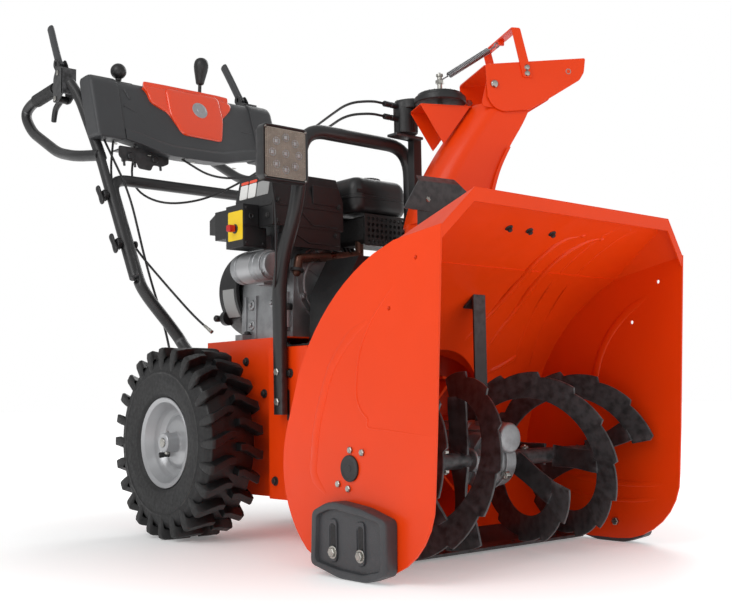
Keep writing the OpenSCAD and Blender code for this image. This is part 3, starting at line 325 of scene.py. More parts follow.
def finely(path, step):
    """The same line with points at most a step apart."""
    out = [path[0]]
    for a, b in zip(path, path[1:]):
        n = max(1, ceil((b - a).length / step))
        out += [a.lerp(b, k / n) for k in range(1, n + 1)]
    return out


def spline(points, n=6):
    """A smooth curve through points."""
    p = [Vector(q) for q in points]
    p = [2 * p[0] - p[1]] + p + [2 * p[-1] - p[-2]]
    out = []
    for a, b, c, d in zip(p, p[1:], p[2:], p[3:]):
        for t in (k / n for k in range(n)):
            out.append(0.5 * (2 * b + (c - a) * t + (2 * a - 5 * b + 4 * c - d) * t * t + (3 * b - a - 3 * c
                + d) * t ** 3))
    return out + [p[-2]]


def sweep(path, ring_at, side, limit=None):
    """Carries a section along a path. ring_at(i) gives its points across (u, v); side is a direction
    that the path never takes, or one for each point; limit(point) holds the points back."""
    rings = []
    for i, p in enumerate(path):
        t = (path[min(i + 1, len(path) - 1)] - path[max(i - 1, 0)]).normalized()
        u = t.cross(Vector(side[i] if isinstance(side, list) else side)).normalized()
        v = t.cross(u)
        ring = [p + u * a + v * b for a, b in ring_at(i)]
        rings.append([limit(q) for q in ring] if limit else ring)
    skin(rings)


def circle(r, sides):
    return [(r * cos(2 * pi * j / sides), r * sin(2 * pi * j / sides)) for j in range(sides)]


def tube(path, r, sides, side=(0.3, 0.5, 0.81), limit=None):
    sweep(path, lambda i: circle(r, sides), side, limit)


def bead(path, normals, width, height):
    """A raised line on a surface, fading out at both ends."""
    last = len(path) - 1

    def section(i):
        h = height * min(1, 3 * min(i, last - i) / last + 0.05)
        w = width / 2 * min(1, 6 * min(i, last - i) / last + 0.3)
        return [(w * cos(radians(a)), -h * sin(radians(a))) for a in (0, 20, 45, 70, 90, 110, 135, 160,
            180)] + [(0, 0.6)]
    sweep(path, section, normals)


def aimed(x, y, z, direction):
    """A frame at a place whose z runs along a direction."""
    return put(x, y, z) @ Vector(direction).to_track_quat("Z", "Y").to_matrix().to_4x4()


def lathe(profile, place, steps=64, loop=False):
    """Turns (radius, height) points round the z of a frame; loop closes the profile on itself."""
    rings = [[place @ Vector((r * c, r * s, h)) for c, s in circle(1, steps)] for r, h in profile]
    skin(rings, loop=loop)


def prism(outline, place, depth):
    """A flat outline in a frame's x and y, made solid along its z."""
    skin([[place @ Vector((p[0], p[1], h)) for p in outline] for h in (0, depth)])


def plane_x(x):
    """Outlines in (y, z), depth along x."""
    return Matrix(((0, 0, 1, x), (1, 0, 0, 0), (0, 1, 0, 0), (0, 0, 0, 1)))


def plane_y(y):
    """Outlines in (x, z), depth along y."""
    return Matrix(((1, 0, 0, 0), (0, 0, 1, y), (0, 1, 0, 0), (0, 0, 0, 1)))


def plane_z(z):
    return put(0, 0, z)


def box(low, high, place=Matrix()):
    prism([(low[0], low[1]), (high[0], low[1]), (high[0], high[1]), (low[0], high[1])],
        place @ plane_z(low[2]), high[2] - low[2])


def rounded_box(w, h, r, n=5):
    """An outline w by h about the origin with round corners."""
    corners = ((1, 1, 0), (-1, 1, 90), (-1, -1, 180), (1, -1, 270))
    return [p for sx, sy, a in corners for p in arc((sx * (w / 2 - r), sy * (h / 2 - r)), r, a, a + 90, n)]


def hex_head(place, r=7.5, h=5, washer=0):
    """A chamfered hexagon head, on a washer of that radius."""
    if washer:
        lathe([(washer - 0.5, 0), (washer, 0.4), (washer, 1.6), (washer - 0.5, 2)], place, 32)
        place = place @ plane_z(2)
    rings = [[place @ Vector((k * c, k * s, z)) for c, s in circle(1, 6)] for k, z in ((r, 0), (r, h - 1),
        (r - 1.2, h))]
    skin(rings)
    lathe([(r * 0.62, h - 0.5), (r * 0.6, h + 0.25)], place, 24)

# ------------------------------------------------------------------ housing

def back_point(angle, inset):
    """A point (y, z) of the upper back's arc, drawn in by a distance."""
    (cy, cz), r = BACK_ARC
    a = radians(angle)
    return cy + (r - inset) * cos(a), cz + (r - inset) * sin(a)


SHEET = 3.5                   # from the back line to the inner face of the wrapped sheet
LIP_SLOPE = -86.3 / 159.3     # fall of the hood's top, front to back


def hood_z(y):
    """Height of the underside of the hood's top at a station y."""
    return 574.8 + LIP_SLOPE * (y + 29.3)


def inner_line(hood_part, arc_part):
    """A line on the inside of hood and back: (x, y) points on the hood, then (x, angle) on the arc.
    Returns its points and the directions across the surface's normals."""
    points = [Vector((x, y, hood_z(y))) for x, y in hood_part]
    normals = [Vector((0, LIP_SLOPE, -1)).normalized()] * len(points)
    for x, angle in arc_part:
        y, z = back_point(angle, SHEET)
        points.append(Vector((x, y, z)))
        a = radians(angle)
        normals.append(Vector((0, -cos(a), -sin(a))))
    smooth = spline(points, 5)
    spread = spline(normals, 5)
    return smooth, [n.normalized() for n in spread]


dressed("side_plates", 0.9)
dressed("housing_shell", 0.7)
dressed("impeller_drum", 0.8)
dressed("scraper_bar", 0.8)
dressed("gearcase_brace", 0.9)

# Raised ribs pressed into the inside of the hood and back
for hood_part, arc_part, width, height in (([(81, 37), (62, 45), (51, 57), (46, 76), (45, 98), (50, 122)],
        [(61, 62.5), (69, 52), (66, 47), (57, 42), (44, 38)], 13, 4.5),
        ([(138, 34), (118, 44), (104, 58), (94, 79), (92, 101), (96, 126)], [(106, 61.7), (121, 53),
        (125, 47), (121, 41), (113, 35.5)], 13, 4.5), ([], [(208, 33.5), (194, 32), (180, 30.8), (163, 29.2),
        (146, 27.8)], 12, 4)):
    path, normals = inner_line(hood_part, arc_part)
    bead(path, normals, width, height)
finish("hood_ribs", "chassis", "orange_paint", smooth=60)

# Seam of the wrapped sheet and a folded edge next to it
for shift_x, width, height in ((0, 2.4, 1.0), (-46, 5, 1.2)):
    path, normals = inner_line([(196 + shift_x, 2), (180 + shift_x, 30), (176 + shift_x, 81),
        (182 + shift_x, 120)], [(196 + shift_x, 62), (223 + shift_x, 49), (240 + shift_x, 39),
        (257 + shift_x, 29)])
    bead(path, normals, width, height)
finish("hood_seams", "chassis", "orange_paint", smooth=60)

# Lines pressed into the side plates: a thin one and a broad soft one
for outline, width, height in (([(81, 441), (107, 419), (140, 385), (162, 348), (171, 313), (173, 277),
        (164, 255), (148, 241), (146, 228), (100, 224), (7, 216)], 3.4, 1.3),
        ([(145, 391), (189, 367), (224, 332), (242, 306), (269, 239), (279, 186), (280, 150), (251, 122)], 17,
        2.4)):
    for x, out in ((SIDE_X, 1), (-SIDE_X, -1)):
        path = spline([(x, y, z) for y, z in outline], 6)
        bead(path, [Vector((out, 0, 0))] * len(path), width, height)
finish("plate_beads", "chassis", "orange_paint", smooth=60)

# Crescent and creases pressed towards the inside of the plates
for outline, width, height in (([(60, 452), (112, 420), (156, 372), (180, 318), (182, 270), (160, 236)], 15,
        2.6), ([(40, 112), (110, 108), (190, 112), (262, 122)], 10, 1.6),
        ([(56, 84), (120, 78), (200, 80), (270, 92)], 8, 1.3)):
    for x, out in ((SIDE_X - 3.5, -1), (-SIDE_X + 3.5, 1)):
        path = spline([(x, y, z) for y, z in outline], 6)
        bead(path, [Vector((out, 0, 0))] * len(path), width, height)
finish("plate_creases", "chassis", "orange_paint", smooth=60)

# Weld dots where sheet and plates meet, and carriage bolt ends in the hood
for x in (-98, -49, 8):
    place = aimed(x, 37.5, hood_z(37.5) + 1, (0, LIP_SLOPE, -1))
    lathe([(6.5, 0), (6.5, 2), (5.6, 3), (4, 3.2), (4, 7), (3.4, 8)], place, 24)
for y, z in ((223, 45), (246, 45)):
    for x, out in ((SIDE_X - 3.5, -1), (-SIDE_X + 3.5, 1)):
        hex_head(aimed(x, y, z, (out, 0, 0)), 6.5, 4)
finish("hood_bolt_ends", "chassis", "dark_steel")
for x, y in ((85, 33.4), (140, 36)):
    lathe([(4.5, 0), (4.2, 1), (2.6, 1.8), (0.6, 2)], aimed(x, y, hood_z(y), (0, LIP_SLOPE, -1)), 20)
finish("hood_welds", "chassis", "orange_paint", smooth=70)

# Skid shoes: a moulded block with a raised rim, a sunk face and two slots
SHOE_IN, SHOE_DEPTH = 305.3, 24
SHOE_LINE = [(263, 16), (259, 98), (227, 112), (202, 116), (139, 109), (84, 94), (85, 15), (131, 0.2),
    (194, 0.2)]
SHOE_SLOTS = (146, 211)
SHOE_BOLT_Z = 38

for side, body, node in ((1, "left_shoe", "left_skid_shoe"), (-1, "right_shoe", "right_skid_shoe")):
    outline = closed_eased(SHOE_LINE, 9)
    sections = ((0, 1.2), (1.2, 0), (SHOE_DEPTH - 5, 0), (SHOE_DEPTH - 1.2, 1.6), (SHOE_DEPTH, 4),
        (SHOE_DEPTH, 11), (SHOE_DEPTH - 1, 13), (SHOE_DEPTH - 7, 15))
    skin([[(side * (SHOE_IN + depth), y, z) for y, z in inset_line(outline, inward)]
        for depth, inward in sections])
    for y in SHOE_SLOTS:
        slot = rounded_box(20, 66, 9)
        skin([[(side * (SHOE_IN + d), y + u * k, 56 + v * k) for u, v in slot] for d, k in ((12, 1),
            (SHOE_DEPTH - 5.5, 1), (SHOE_DEPTH - 4.2, 0.96), (SHOE_DEPTH - 4.2, 0.8),
            (SHOE_DEPTH - 6, 0.74))])
    finish(node + "_form", body, "shoe_plastic")
    # a dark filler in each slot stands for the open slot: painted shade
    for y in SHOE_SLOTS:
        slot = rounded_box(10, 53, 4.8)
        skin([[(side * (SHOE_IN + d), y + u, 56.7 + v) for u, v in slot] for d in (SHOE_DEPTH - 9,
            SHOE_DEPTH - 5.6)])
    finish(node + "_slots", body, "rubber")

# Bolts of the housing and the frame
for side in (1, -1):
    out = (side, 0, 0)
    for y in SHOE_SLOTS:
        hex_head(aimed(side * (SHOE_IN + SHOE_DEPTH - 5), y, SHOE_BOLT_Z, out), 7.5, 3.7, 10)
        lathe([(4, 0), (4, 5.2), (3.2, 6)], aimed(side * (SHOE_IN + SHOE_DEPTH - 5), y, SHOE_BOLT_Z, out), 20)
        hex_head(aimed(side * 301, y, SHOE_BOLT_Z, (-side, 0, 0)), 7.5, 5.5)
    for y, z in ((189, 193), (161, 190), (219, 140), (194.5, 134)):
        hex_head(aimed(side * SIDE_X, y, z, out), 5.5, 4)
    for z in (268, 324):
        hex_head(aimed(side * 175.1, 555, z, out), 7.5, 5)
        hex_head(aimed(side * 151, 555, z, (-side, 0, 0)), 7.5, 6)
    for y, z in ((810, 301), (860, 334)):
        hex_head(aimed(side * 148.2, y, z, out), 7.5, 4.5)
        hex_head(aimed(side * 123, y, z, (-side, 0, 0)), 7.5, 6.8)
for x in (-98, -49, 8):
    hex_head(aimed(x, 42, 538.4, (0, -LIP_SLOPE, 1)), 6.5, 4.5)
finish("hex_bolts_form", "chassis", "zinc")

# Bearing caps: a stepped round boss
for side in (1, -1):
    lathe([(3, 3.6), (5, 3.6), (6, 2.4), (13, 2.4), (15.5, 3.4), (19.4, 3.4), (20.4, 2.6), (20.4, 0),
        (16, -4), (16, -10.5), (9.7, -10.5)], aimed(side * (SIDE_X + 0.2), AUGER.y, AUGER.z, (side, 0, 0)),
        64)
finish("bearing_caps", "chassis", "black_plastic")
dressed("shaft_bearings", 0.6)

# ------------------------------------------------------------------ augers

RIBBON_IN, RIBBON_OUT = 104, 152.4
TOOTH = 9                     # height of a tooth
TURN = 330                    # how far a ribbon winds round, in degrees
SPOKE_ROOT = 10
TEETH = 12
STEPS_PER_TOOTH = 12
TUBE_X = (48, 288)
SPAN = (TUBE_X[0] + 8, TUBE_X[1] - 8)


def tooth_shape(f):
    """Edge height over one tooth: a long slanting rise, then a short drop."""
    return (f / 0.92) ** 0.8 if f < 0.92 else 1 - (f - 0.92) / 0.08


def ribbon(start, hand):
    """One ribbon of a side's auger, with a saw tooth outer edge."""
    steps = TEETH * STEPS_PER_TOOTH
    rings = []
    for i in range(steps + 1):
        t = i / steps
        a = radians(start + TURN * t)
        x = SPAN[0] + (SPAN[1] - SPAN[0]) * t
        out = RIBBON_OUT - TOOTH * (1 - tooth_shape(i % STEPS_PER_TOOTH / STEPS_PER_TOOTH))
        section = ((-2.1, RIBBON_IN + 0.8), (-2.1, out - 1), (-1.2, out), (1.2, out), (2.1, out - 1),
            (2.1, RIBBON_IN + 0.8), (1.2, RIBBON_IN), (-1.2, RIBBON_IN))
        rings.append([(hand * (x + w), AUGER.y + r * cos(a), AUGER.z + r * sin(a)) for w, r in section])
    skin(rings)


def spoke(x, angle, hand):
    """A wide strap from the tube to the ribbon, twisting into the ribbon's lie."""
    turn = put(hand * x, AUGER.y, AUGER.z) @ turned(angle, "X")
    rings = []
    for i in range(13):
        t = i / 12
        r = SPOKE_ROOT + (RIBBON_IN + 4 - SPOKE_ROOT) * t
        half = 17 + 2.5 * cos(pi * t) ** 2
        twist = radians(hand * 16 * sin(pi * t))
        section = [(-half, -2.4), (-half + 1, -2.9), (half - 1, -2.9), (half, -2.4), (half, 2.4),
            (half - 1, 2.9), (-half + 1, 2.9), (-half, 2.4)]
        rings.append([turn @ Vector((w * cos(twist) - s * sin(twist), r, s * cos(twist) + w * sin(twist)))
            for s, w in section])
    skin(rings)


for hand, start, node in ((1, 20, "left_auger"), (-1, 75, "right_auger")):
    for half_turn in (0, 180):
        ribbon(start + half_turn, hand)
        for t in (0.04, 0.5, 0.96):
            spoke(SPAN[0] + (SPAN[1] - SPAN[0]) * t, start + half_turn + TURN * t, hand)
    lathe([(9.6, 0), (13.4, 0), (14, 0.6), (14, 239.4), (13.4, 240), (9.6, 240)], aimed(hand * TUBE_X[0],
        AUGER.y, AUGER.z, (hand, 0, 0)), 48, loop=True)
    finish(node + "_form", "auger_rotor", "black_paint", smooth=32)

# ------------------------------------------------------------------ auger gearcase

lathe([(10, -42), (18, -42), (20, -40), (20, -31), (22, -28.5), (44, -28), (47, -25), (47, -3.2), (51, -3.2),
    (51, 3.2), (47, 3.2), (47, 25), (44, 28), (22, 28.5), (20, 31), (20, 40), (18, 42), (10, 42)],
    aimed(*AUGER, (1, 0, 0)), 72)
for side in (1, -1):
    for k in range(8):
        rib = put(*AUGER) @ turned(22.5 + 45 * k, "X")
        prism([(20, 28), (44, 28), (42, 30.5), (24, 39), (20, 39)],
            rib @ Matrix(((0, side, 0, 0), (1, 0, 0, 0), (0, 0, 1, -1.6), (0, 0, 0, 1))), 3.2)
neck = aimed(0, 130, IMPELLER_Z, (0, 1, 0))
lathe([(10, 0), (21, 0), (24, 2), (26, 5), (26, 82), (29, 84), (30, 86), (30, 94), (28, 96), (26, 97),
    (26, 172), (30, 173), (30, 183), (27, 186), (26, 198), (24, 200), (10, 200)], neck, 56)
for k in range(6):
    rib = neck @ turned(60 * k + 30, "Z")
    prism([(24, 4), (29.5, 30), (29.5, 84), (24, 84)], rib @ Matrix(((1, 0, 0, 0), (0, 0, 1, -1.5),
        (0, 1, 0, 0), (0, 0, 0, 1))), 3)
    prism([(24, 96), (29, 100), (29, 172), (24, 172)], rib @ Matrix(((1, 0, 0, 0), (0, 0, 1, -1.5),
        (0, 1, 0, 0), (0, 0, 0, 1))), 3)
prism(rounded_box(30, 30, 4), put(0, 187, 195), 35)
finish("auger_gearcase_form", "chassis", "casting", edge=0.8)
for k in range(6):
    a = radians(30 + 60 * k)
    y, z = AUGER.y + 53 * cos(a), AUGER.z + 53 * sin(a)
    if z > IMPELLER_Z + 10 or abs(z - IMPELLER_Z) < 24 and y > 200:
        continue
    lathe([(7, -5), (7.5, -4), (7.5, 4), (7, 5)], aimed(0, y - 2 * cos(a), z - 2 * sin(a), (1, 0, 0)), 24)
    hex_head(aimed(-5, y, z, (-1, 0, 0)), 5, 4)
    hex_head(aimed(5, y, z, (1, 0, 0)), 5, 4)
finish("gearcase_bolts", "chassis", "zinc")

# Shear bolts through the auger tubes, the axle and the worm drive
for side in (1, -1):
    lathe([(3.2, -21), (4, -20), (4, 20), (3.2, 21)], put(side * 100, AUGER.y, AUGER.z), 24)
    hex_head(put(side * 100, AUGER.y, AUGER.z + 14.1), 7, 5)
    hex_head(aimed(side * 100, AUGER.y, AUGER.z - 14.1, (0, 0, -1)), 7, 5)
finish("shear_bolts_form", "auger_rotor", "zinc")
for node in ("auger_axle", "worm_wheel", "impeller_shaft", "impeller_pulley", "crankshaft", "belts",
        "wheel_axle", "hex_shaft", "friction_wheel", "drive_disc"):
    dressed(node, 0.4)
dressed("impeller", 1.2)

# ------------------------------------------------------------------ chute

CHUTE = put(*CHUTE_AXIS) @ turned(CHUTE_TURN, "Z")
CHUTE_HALF = 71
CHUTE_SLICES = [(606, -74, 66), (650, -61, 76), (705, -35, 92), (755, -6, 116), (805, 28, 146),
    (846, 57, 166)]
WALL = 2.5
HINGE_S, HINGE_Z = 86, 879
PANEL_IN = 73.6


def channel_slice(z, rear, front, inward):
    """Half way round the channel: from its +side front edge round the back to the other, drawn in."""
    r, c = 52 - inward, rear + 52
    half = CHUTE_HALF - inward
    points = [(front, half)] + arc((c, CHUTE_HALF - 52), r, 90, 180, 12)
    points += arc((c, -CHUTE_HALF + 52), r, 180, 270, 12) + [(front, -half)]
    return [CHUTE @ Vector((s, n, z)) for s, n in points]


slices = spline(CHUTE_SLICES, 4)
rings = []
for q in slices:
    outer, inner = channel_slice(*q, 0), channel_slice(*q, WALL)
    rings.append(outer + list(reversed(inner)))
skin(rings)
# open edges folded outwards and back
for side in (1, -1):
    rings = []
    for z, rear, front in slices[:13]:
        section = ((0, -1.5), (0, 8), (-1, 9), (-7, 9), (-7, 6.8), (-2.4, 6.8), (-2.4, -1.5))
        rings.append([CHUTE @ Vector((front + s, side * (CHUTE_HALF + n), z)) for s, n in section])
    skin(rings)
# ears that carry the deflector
for side in (1, -1):
    ear = CHUTE @ plane_y(CHUTE_HALF - WALL if side > 0 else -CHUTE_HALF)
    prism(closed_eased([(60, 835), (74, 893), (98, 893), (166, 846), (150, 830)], 10), ear, WALL)
# mount under the rotor, with its two gussets
for n in (-34.5, 32):
    prism([(-52, 842), (50, 842), (2, 776), (-6, 766)], CHUTE @ plane_y(n), 2.5)
prism(closed_eased([(-52, -34.5), (56, -34.5), (56, 34.5), (-52, 34.5)], 6), CHUTE @ plane_z(842), 2.5)
# base ring that turns on the collar
lathe([(72.6, 570), (79, 570), (80, 571), (80, 573), (79, 574), (76.4, 574.6), (75.6, 576), (75.6, 609),
    (74.6, 610), (72.6, 610)], CHUTE, 96, loop=True)
finish("chute_form", "chute_body", "orange_paint", edge=0.7, smooth=35)

# Pivot bolts, stud, nut and cap
for side in (1, -1):
    hinge = CHUTE @ aimed(HINGE_S, side * 64, HINGE_Z, (0, side, 0))
    hex_head(hinge, 7.4, 4)
    lathe([(3.9, 3), (3.9, 13), (7.4, 13), (7.4, 15.5), (5.5, 17.6), (2, 18)], hinge, 32)
lathe([(4.9, 844.4), (4.9, 915), (3, 918)], CHUTE, 32)
hex_head(CHUTE @ plane_z(896), 9, 7)
lathe([(6, 909.8), (7, 910.6), (7, 915), (5.6, 916)], CHUTE, 32)
finish("chute_bolts", "chute_body", "zinc")

# ------------------------------------------------------------------ deflector

PANEL = [(69, 918), (72, 850)] + arc((108, 862), 36, 195, 285, 10) + [(158, 832), (210, 862), (268, 898),
    (278, 914), (282, 944)]
for side in (1, -1):
    panel = closed_eased(PANEL, 4, 3)
    skin([[CHUTE @ Vector((s, side * n, z)) for s, z in inset_line(panel, d)] for n, d in ((PANEL_IN, 0.5),
        (PANEL_IN + 0.5, 0), (PANEL_IN + 2, 0), (PANEL_IN + 2.5, 0.5))])
    # folded hem along the mouth
    hem = eased([(158, 833), (210, 863), (268, 899), (278, 915), (281.5, 943)], 12)
    rings = []
    for i, p in enumerate(hem):
        t = (hem[min(i + 1, len(hem) - 1)] - hem[max(i - 1, 0)]).normalized()
        inner = p + Vector((-t.y, t.x)) * 6
        rings.append([CHUTE @ Vector((q[0], side * n, q[1])) for q, n in ((p, PANEL_IN - 1.8),
            (p, PANEL_IN + 0.2), (inner, PANEL_IN + 0.2), (inner, PANEL_IN - 1.8))])
    skin(rings)
    leg = [(146, 896), (166, 896), (142, 994), (124, 994)]
    skin([[CHUTE @ Vector((s, side * n, z)) for s, z in closed_eased(leg, 3, 3)] for n in (PANEL_IN + 2.6,
        PANEL_IN + 5.4)])
top = [(69, 918), (282, 944)]
rings = []
for n in [-74.6 + 149.2 * i / 24 for i in range(25)]:
    edge = 2.2 * max(0, (abs(n) - 70) / 4.6) ** 2
    rings.append([CHUTE @ Vector((s, n, z - edge + d)) for s, z, d in ((top[0][0], top[0][1], 0),
        (top[1][0], top[1][1], 0), (top[1][0], top[1][1], -2.5), (top[0][0], top[0][1], -2.5))])
skin(rings)
prism(closed_eased([(124, -78.6), (142, -78.6), (142, 78.6), (124, 78.6)], 3, 3), CHUTE @ plane_z(991.8), 3)
prism(rounded_box(13, 7, 2), CHUTE @ put(133, 0, 984), 8.5)
finish("deflector_form", "deflector_body", "orange_paint", edge=0.5, smooth=35)
for side in (1, -1):
    for z in (904, 916):
        lathe([(3.8, 0), (3.8, 5.4), (6, 5.4), (6, 6), (4.5, 8), (1.5, 8.6)],
            CHUTE @ aimed(155, side * (PANEL_IN - 0.5), z, (0, side, 0)), 28)
    lathe([(4.3, -0.4), (5.6, -0.4), (5.6, 0.4), (4.3, 0.4)], CHUTE @ aimed(244, side * (PANEL_IN + 2.5), 914,
        (0, side, 0)), 28, loop=True)
finish("deflector_rivets", "deflector_body", "zinc")

# Tension spring: a close coil with a hook at each end
SPRING_FROM, SPRING_TO = Vector((6.8, 0, 906)), Vector((120, 0, 981))
COIL_R, WIRE_R = 5.4, 1.5
SPRING_TURNS, STEPS_PER_TURN = 30, 14
line = SPRING_TO - SPRING_FROM
along = CHUTE @ aimed(*SPRING_FROM, line)
length = line.length
path = [Vector((0, 0, -1)), Vector((0, 0, 8)), Vector((COIL_R * 0.4, 0, 12))]
steps = SPRING_TURNS * STEPS_PER_TURN
for i in range(steps + 1):
    a = 2 * pi * i / STEPS_PER_TURN
    path.append(Vector((COIL_R * cos(a), COIL_R * sin(a), 15 + (length - 32) * i / steps)))
path += [Vector((COIL_R * 0.4, 0, length - 13)), Vector((0, 0, length - 9)), Vector((0, 0, length))]
tube([along @ p for p in path], WIRE_R, 8, (0.13, 0.31, 0.94))
for end, spin in ((0, 0), (length, 90)):
    hook = [along @ put(0, 0, end) @ turned(spin, "Z")
        @ Vector((4.5 * sin(a), 0, (-1 if end == 0 else 1) * (4.5 - 4.5 * cos(a)))) for a in [radians(20 * k)
        for k in range(17)]]
    tube(hook, WIRE_R, 8, CHUTE.to_3x3() @ Vector((0.2, 1, 0.1)))
spring = finish("deflector_spring_form", None, "steel", smooth=60)
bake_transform(spring)

# ------------------------------------------------------------------ chute rotator

HEAD = Vector((103, 486, 0))
lathe([(5.2, 854), (50, 854), (52, 856), (52, 864), (50.5, 867), (46, 868.5), (45, 873), (43, 874.2),
    (14, 874.2), (12, 872.6), (5.2, 872.6)], put(*CHUTE_AXIS), 96, loop=True)
for k in range(24):
    rib = put(*CHUTE_AXIS) @ turned(15 * k, "Z")
    box((16, -0.9, 873.6), (42, 0.9, 875.2), rib)
finish("rotator_disc", "chassis", "black_plastic", edge=0.3)
arm = closed_eased([(112, 445), (124, 445), (130, 486), (116, 510), (92, 511), (77, 486), (88, 458)], 12)
skin([[(x, y, z) for x, y in inset_line(arm, d)] for z, d in ((856.5, 2), (858, 0.4), (873, 0.4),
    (875.8, 4))])
lathe([(20, 806.4), (23, 808), (24, 811), (24, 846), (25.5, 849), (25.5, 868), (22, 875), (9, 876.4)],
    put(*HEAD), 48)
for k in range(10):
    rib = put(*HEAD) @ turned(36 * k + 12, "Z")
    box((22, -1.1, 810), (25.2, 1.1, 852), rib)
for z in (836, 862):
    lathe([(3, -60), (5, -60), (6, -58.6), (6, -46), (4.8, -45), (4.8, -42), (6, -41), (6, -20)],
        aimed(HEAD.x, HEAD.y, z, (1, 0, 0)), 28)
finish("rotator_head_form", "chassis", "black_plastic", edge=0.7)
for x, y in ((88, 495), (118, 495), (103, 466)):
    hex_head(put(x, y, 875), 4.4, 3)
finish("rotator_screws", "chassis", "zinc")
dressed("rotator_bracket", 1.0)

# Shield in front of the chute: a bent plate with round corners and two bolts
dressed("snow_shield", 1.1)
for x in (-36, 34):
    hex_head(aimed(x, 284.4, 628, (0, -1, 0)), 5.5, 3.4)
finish("shield_bolts", "chassis", "zinc")
hex_head(aimed(0, 211, 440.5, (0, -0.62, 0.79)), 6.5, 4.5, 9)
hex_head(aimed(0, 186, 234.8, (0, 0, 1)), 6.5, 4)
finish("brace_bolts", "chassis", "zinc")

# ------------------------------------------------------------------ light

HOOP = [(-169, 555, 244), (-169, 555, 520), (-146, 522, 650), (-142, 520, 790), (142, 520, 790),
    (146, 522, 650), (169, 555, 520), (169, 555, 244)]


def hoop_limit(q):
    """Flattens the feet where they meet the frame."""
    if q.z < 350:
        q.x = max(-175, min(175, q.x))
    return q


tube(eased(HOOP, 60, 9), 13.9, TUBE_SIDES, (0, 1, 0), hoop_limit)
arm_place = put(LAMP.x, 0, LAMP.z)
box((-17.4, 524, -8), (57.6, 528, 8), arm_place)
for x in (-17.4, 13.4):
    prism(closed_eased([(506.5, -8), (527.5, -8), (527.5, 8), (506.5, 8)], 5, 4), arm_place @ plane_x(x), 4)
finish("light_hoop_form", "chassis", "black_paint", edge=0.5, smooth=35)
for side in (1, -1):
    place = aimed(LAMP.x + side * 17.6, 510, LAMP.z, (side, 0, 0))
    hex_head(place, 5.5, 2.2)
finish("lamp_pivot", "chassis", "zinc")

# Headlight: a finned die cast body, a bezel and nine bright cups behind a ribbed glass
face = put(LAMP.x, LAMP.y, LAMP.z)


def square(y, size, r):
    return [face @ Vector((x, y, z)) for x, z in rounded_box(size, size, r, 6)]


skin([square(3.2, 92, 7), square(1, 96, 8), square(0, 100, 9), square(0.8, 103, 10), square(3, 104, 10.5),
    square(18, 104, 10.5), square(21, 101, 10), square(22, 96, 9)])
for i in range(-5, 6):
    box((i * 9 - 1.2, 21, -44), (i * 9 + 1.2, 30.8, 44), face)
for x in (-13, 9):
    prism(closed_eased([(21, -9), (48, -9), (48, 9), (21, 9)], 5, 4), face @ plane_x(x), 4)
finish("headlight_form", "lamp", "black_paint", edge=0.5)
skin([square(1.2, 91.5, 6), square(5.6, 91.5, 6)])
finish("headlight_back", "lamp", "lens", instead="headlight_lens")
cups = [(0, 0)] + [(30 * cos(radians(45 * k)), 30 * sin(radians(45 * k))) for k in range(8)]
for x, z in cups:
    lathe([(7.2, 0.7), (7.8, 0.7), (7.4, 0.1), (6.6, 0.3), (4.6, 0.9), (3.4, 1.15)], face @ aimed(x, 0, z,
        (0, 1, 0)), 28)
finish("headlight_cups", "lamp", "casting", smooth=60)
for x, z in cups:
    lathe([(4.4, 0.2), (4, -0.5), (2.4, -0.95), (0.2, -1)], face @ aimed(x, 1, z, (0, 1, 0)), 20)
finish("headlight_leds", "lamp", "silver_paint", smooth=70)
for i in range(-10, 11):
    box((i * 4.3 - 0.7, 0.3, -44), (i * 4.3 + 0.7, 1.1, 44), face)
    box((-44, 0.3, i * 4.3 - 0.7), (44, 1.1, i * 4.3 + 0.7), face)
finish("headlight_grid", "lamp", "lens")
for sx in (-1, 1):
    for sz in (-1, 1):
        hex_head(face @ aimed(sx * 46, 0.8, sz * 46, (0, -1, 0)), 2.6, 1)
finish("headlight_screws", "lamp", "zinc")

# ------------------------------------------------------------------ wheels

TYRE_X = 218                  # middle plane of a tyre
PIN_X = 262                   # station of the pin through the axle and the rim's hub
TREAD_R = 180
LUGS = 24
# A lug's spine, from low on the sidewall over the shoulder to the middle of the tread:
# across, outer radius, inner radius, half width, how far it has moved round
LUG = ((58.6, 146, 140, 4, 0), (60.6, 158, 150, 6, 0), (60.9, 178, 166, 7.6, 0), (58.6, 187.4, 168, 8, 0),
    (52, 190, 170, 8, 1), (30, 190.2, 170, 7.4, 11), (18, 190.2, 171, 6.6, 17), (4, 190.2, 171, 6, 17))


def lug(wheel, side, turn):
    """One lug of a tyre, on one side of its middle."""
    rings = []
    for across, outer, inner, half, moved in LUG:
        ring = []
        for r, w in ((outer, -half), (outer, half), (inner, half + 3), (inner, -half - 3)):
            a = turn + (moved + w) / TREAD_R
            lean = 0.93 if r == inner and across > 56 else 1
            ring.append(wheel @ Vector((r * cos(a), r * sin(a), side * across * lean)))
        rings.append(ring)
    skin(rings)


def patch(piece, material, test):
    """Gives another finish to the faces whose middle, in stations, passes the test."""
    piece.data.materials.append(material)
    index = len(piece.data.materials) - 1
    back = ROW.inverted()
    for face in piece.data.polygons:
        if test(back @ face.center):
            face.material_index = index


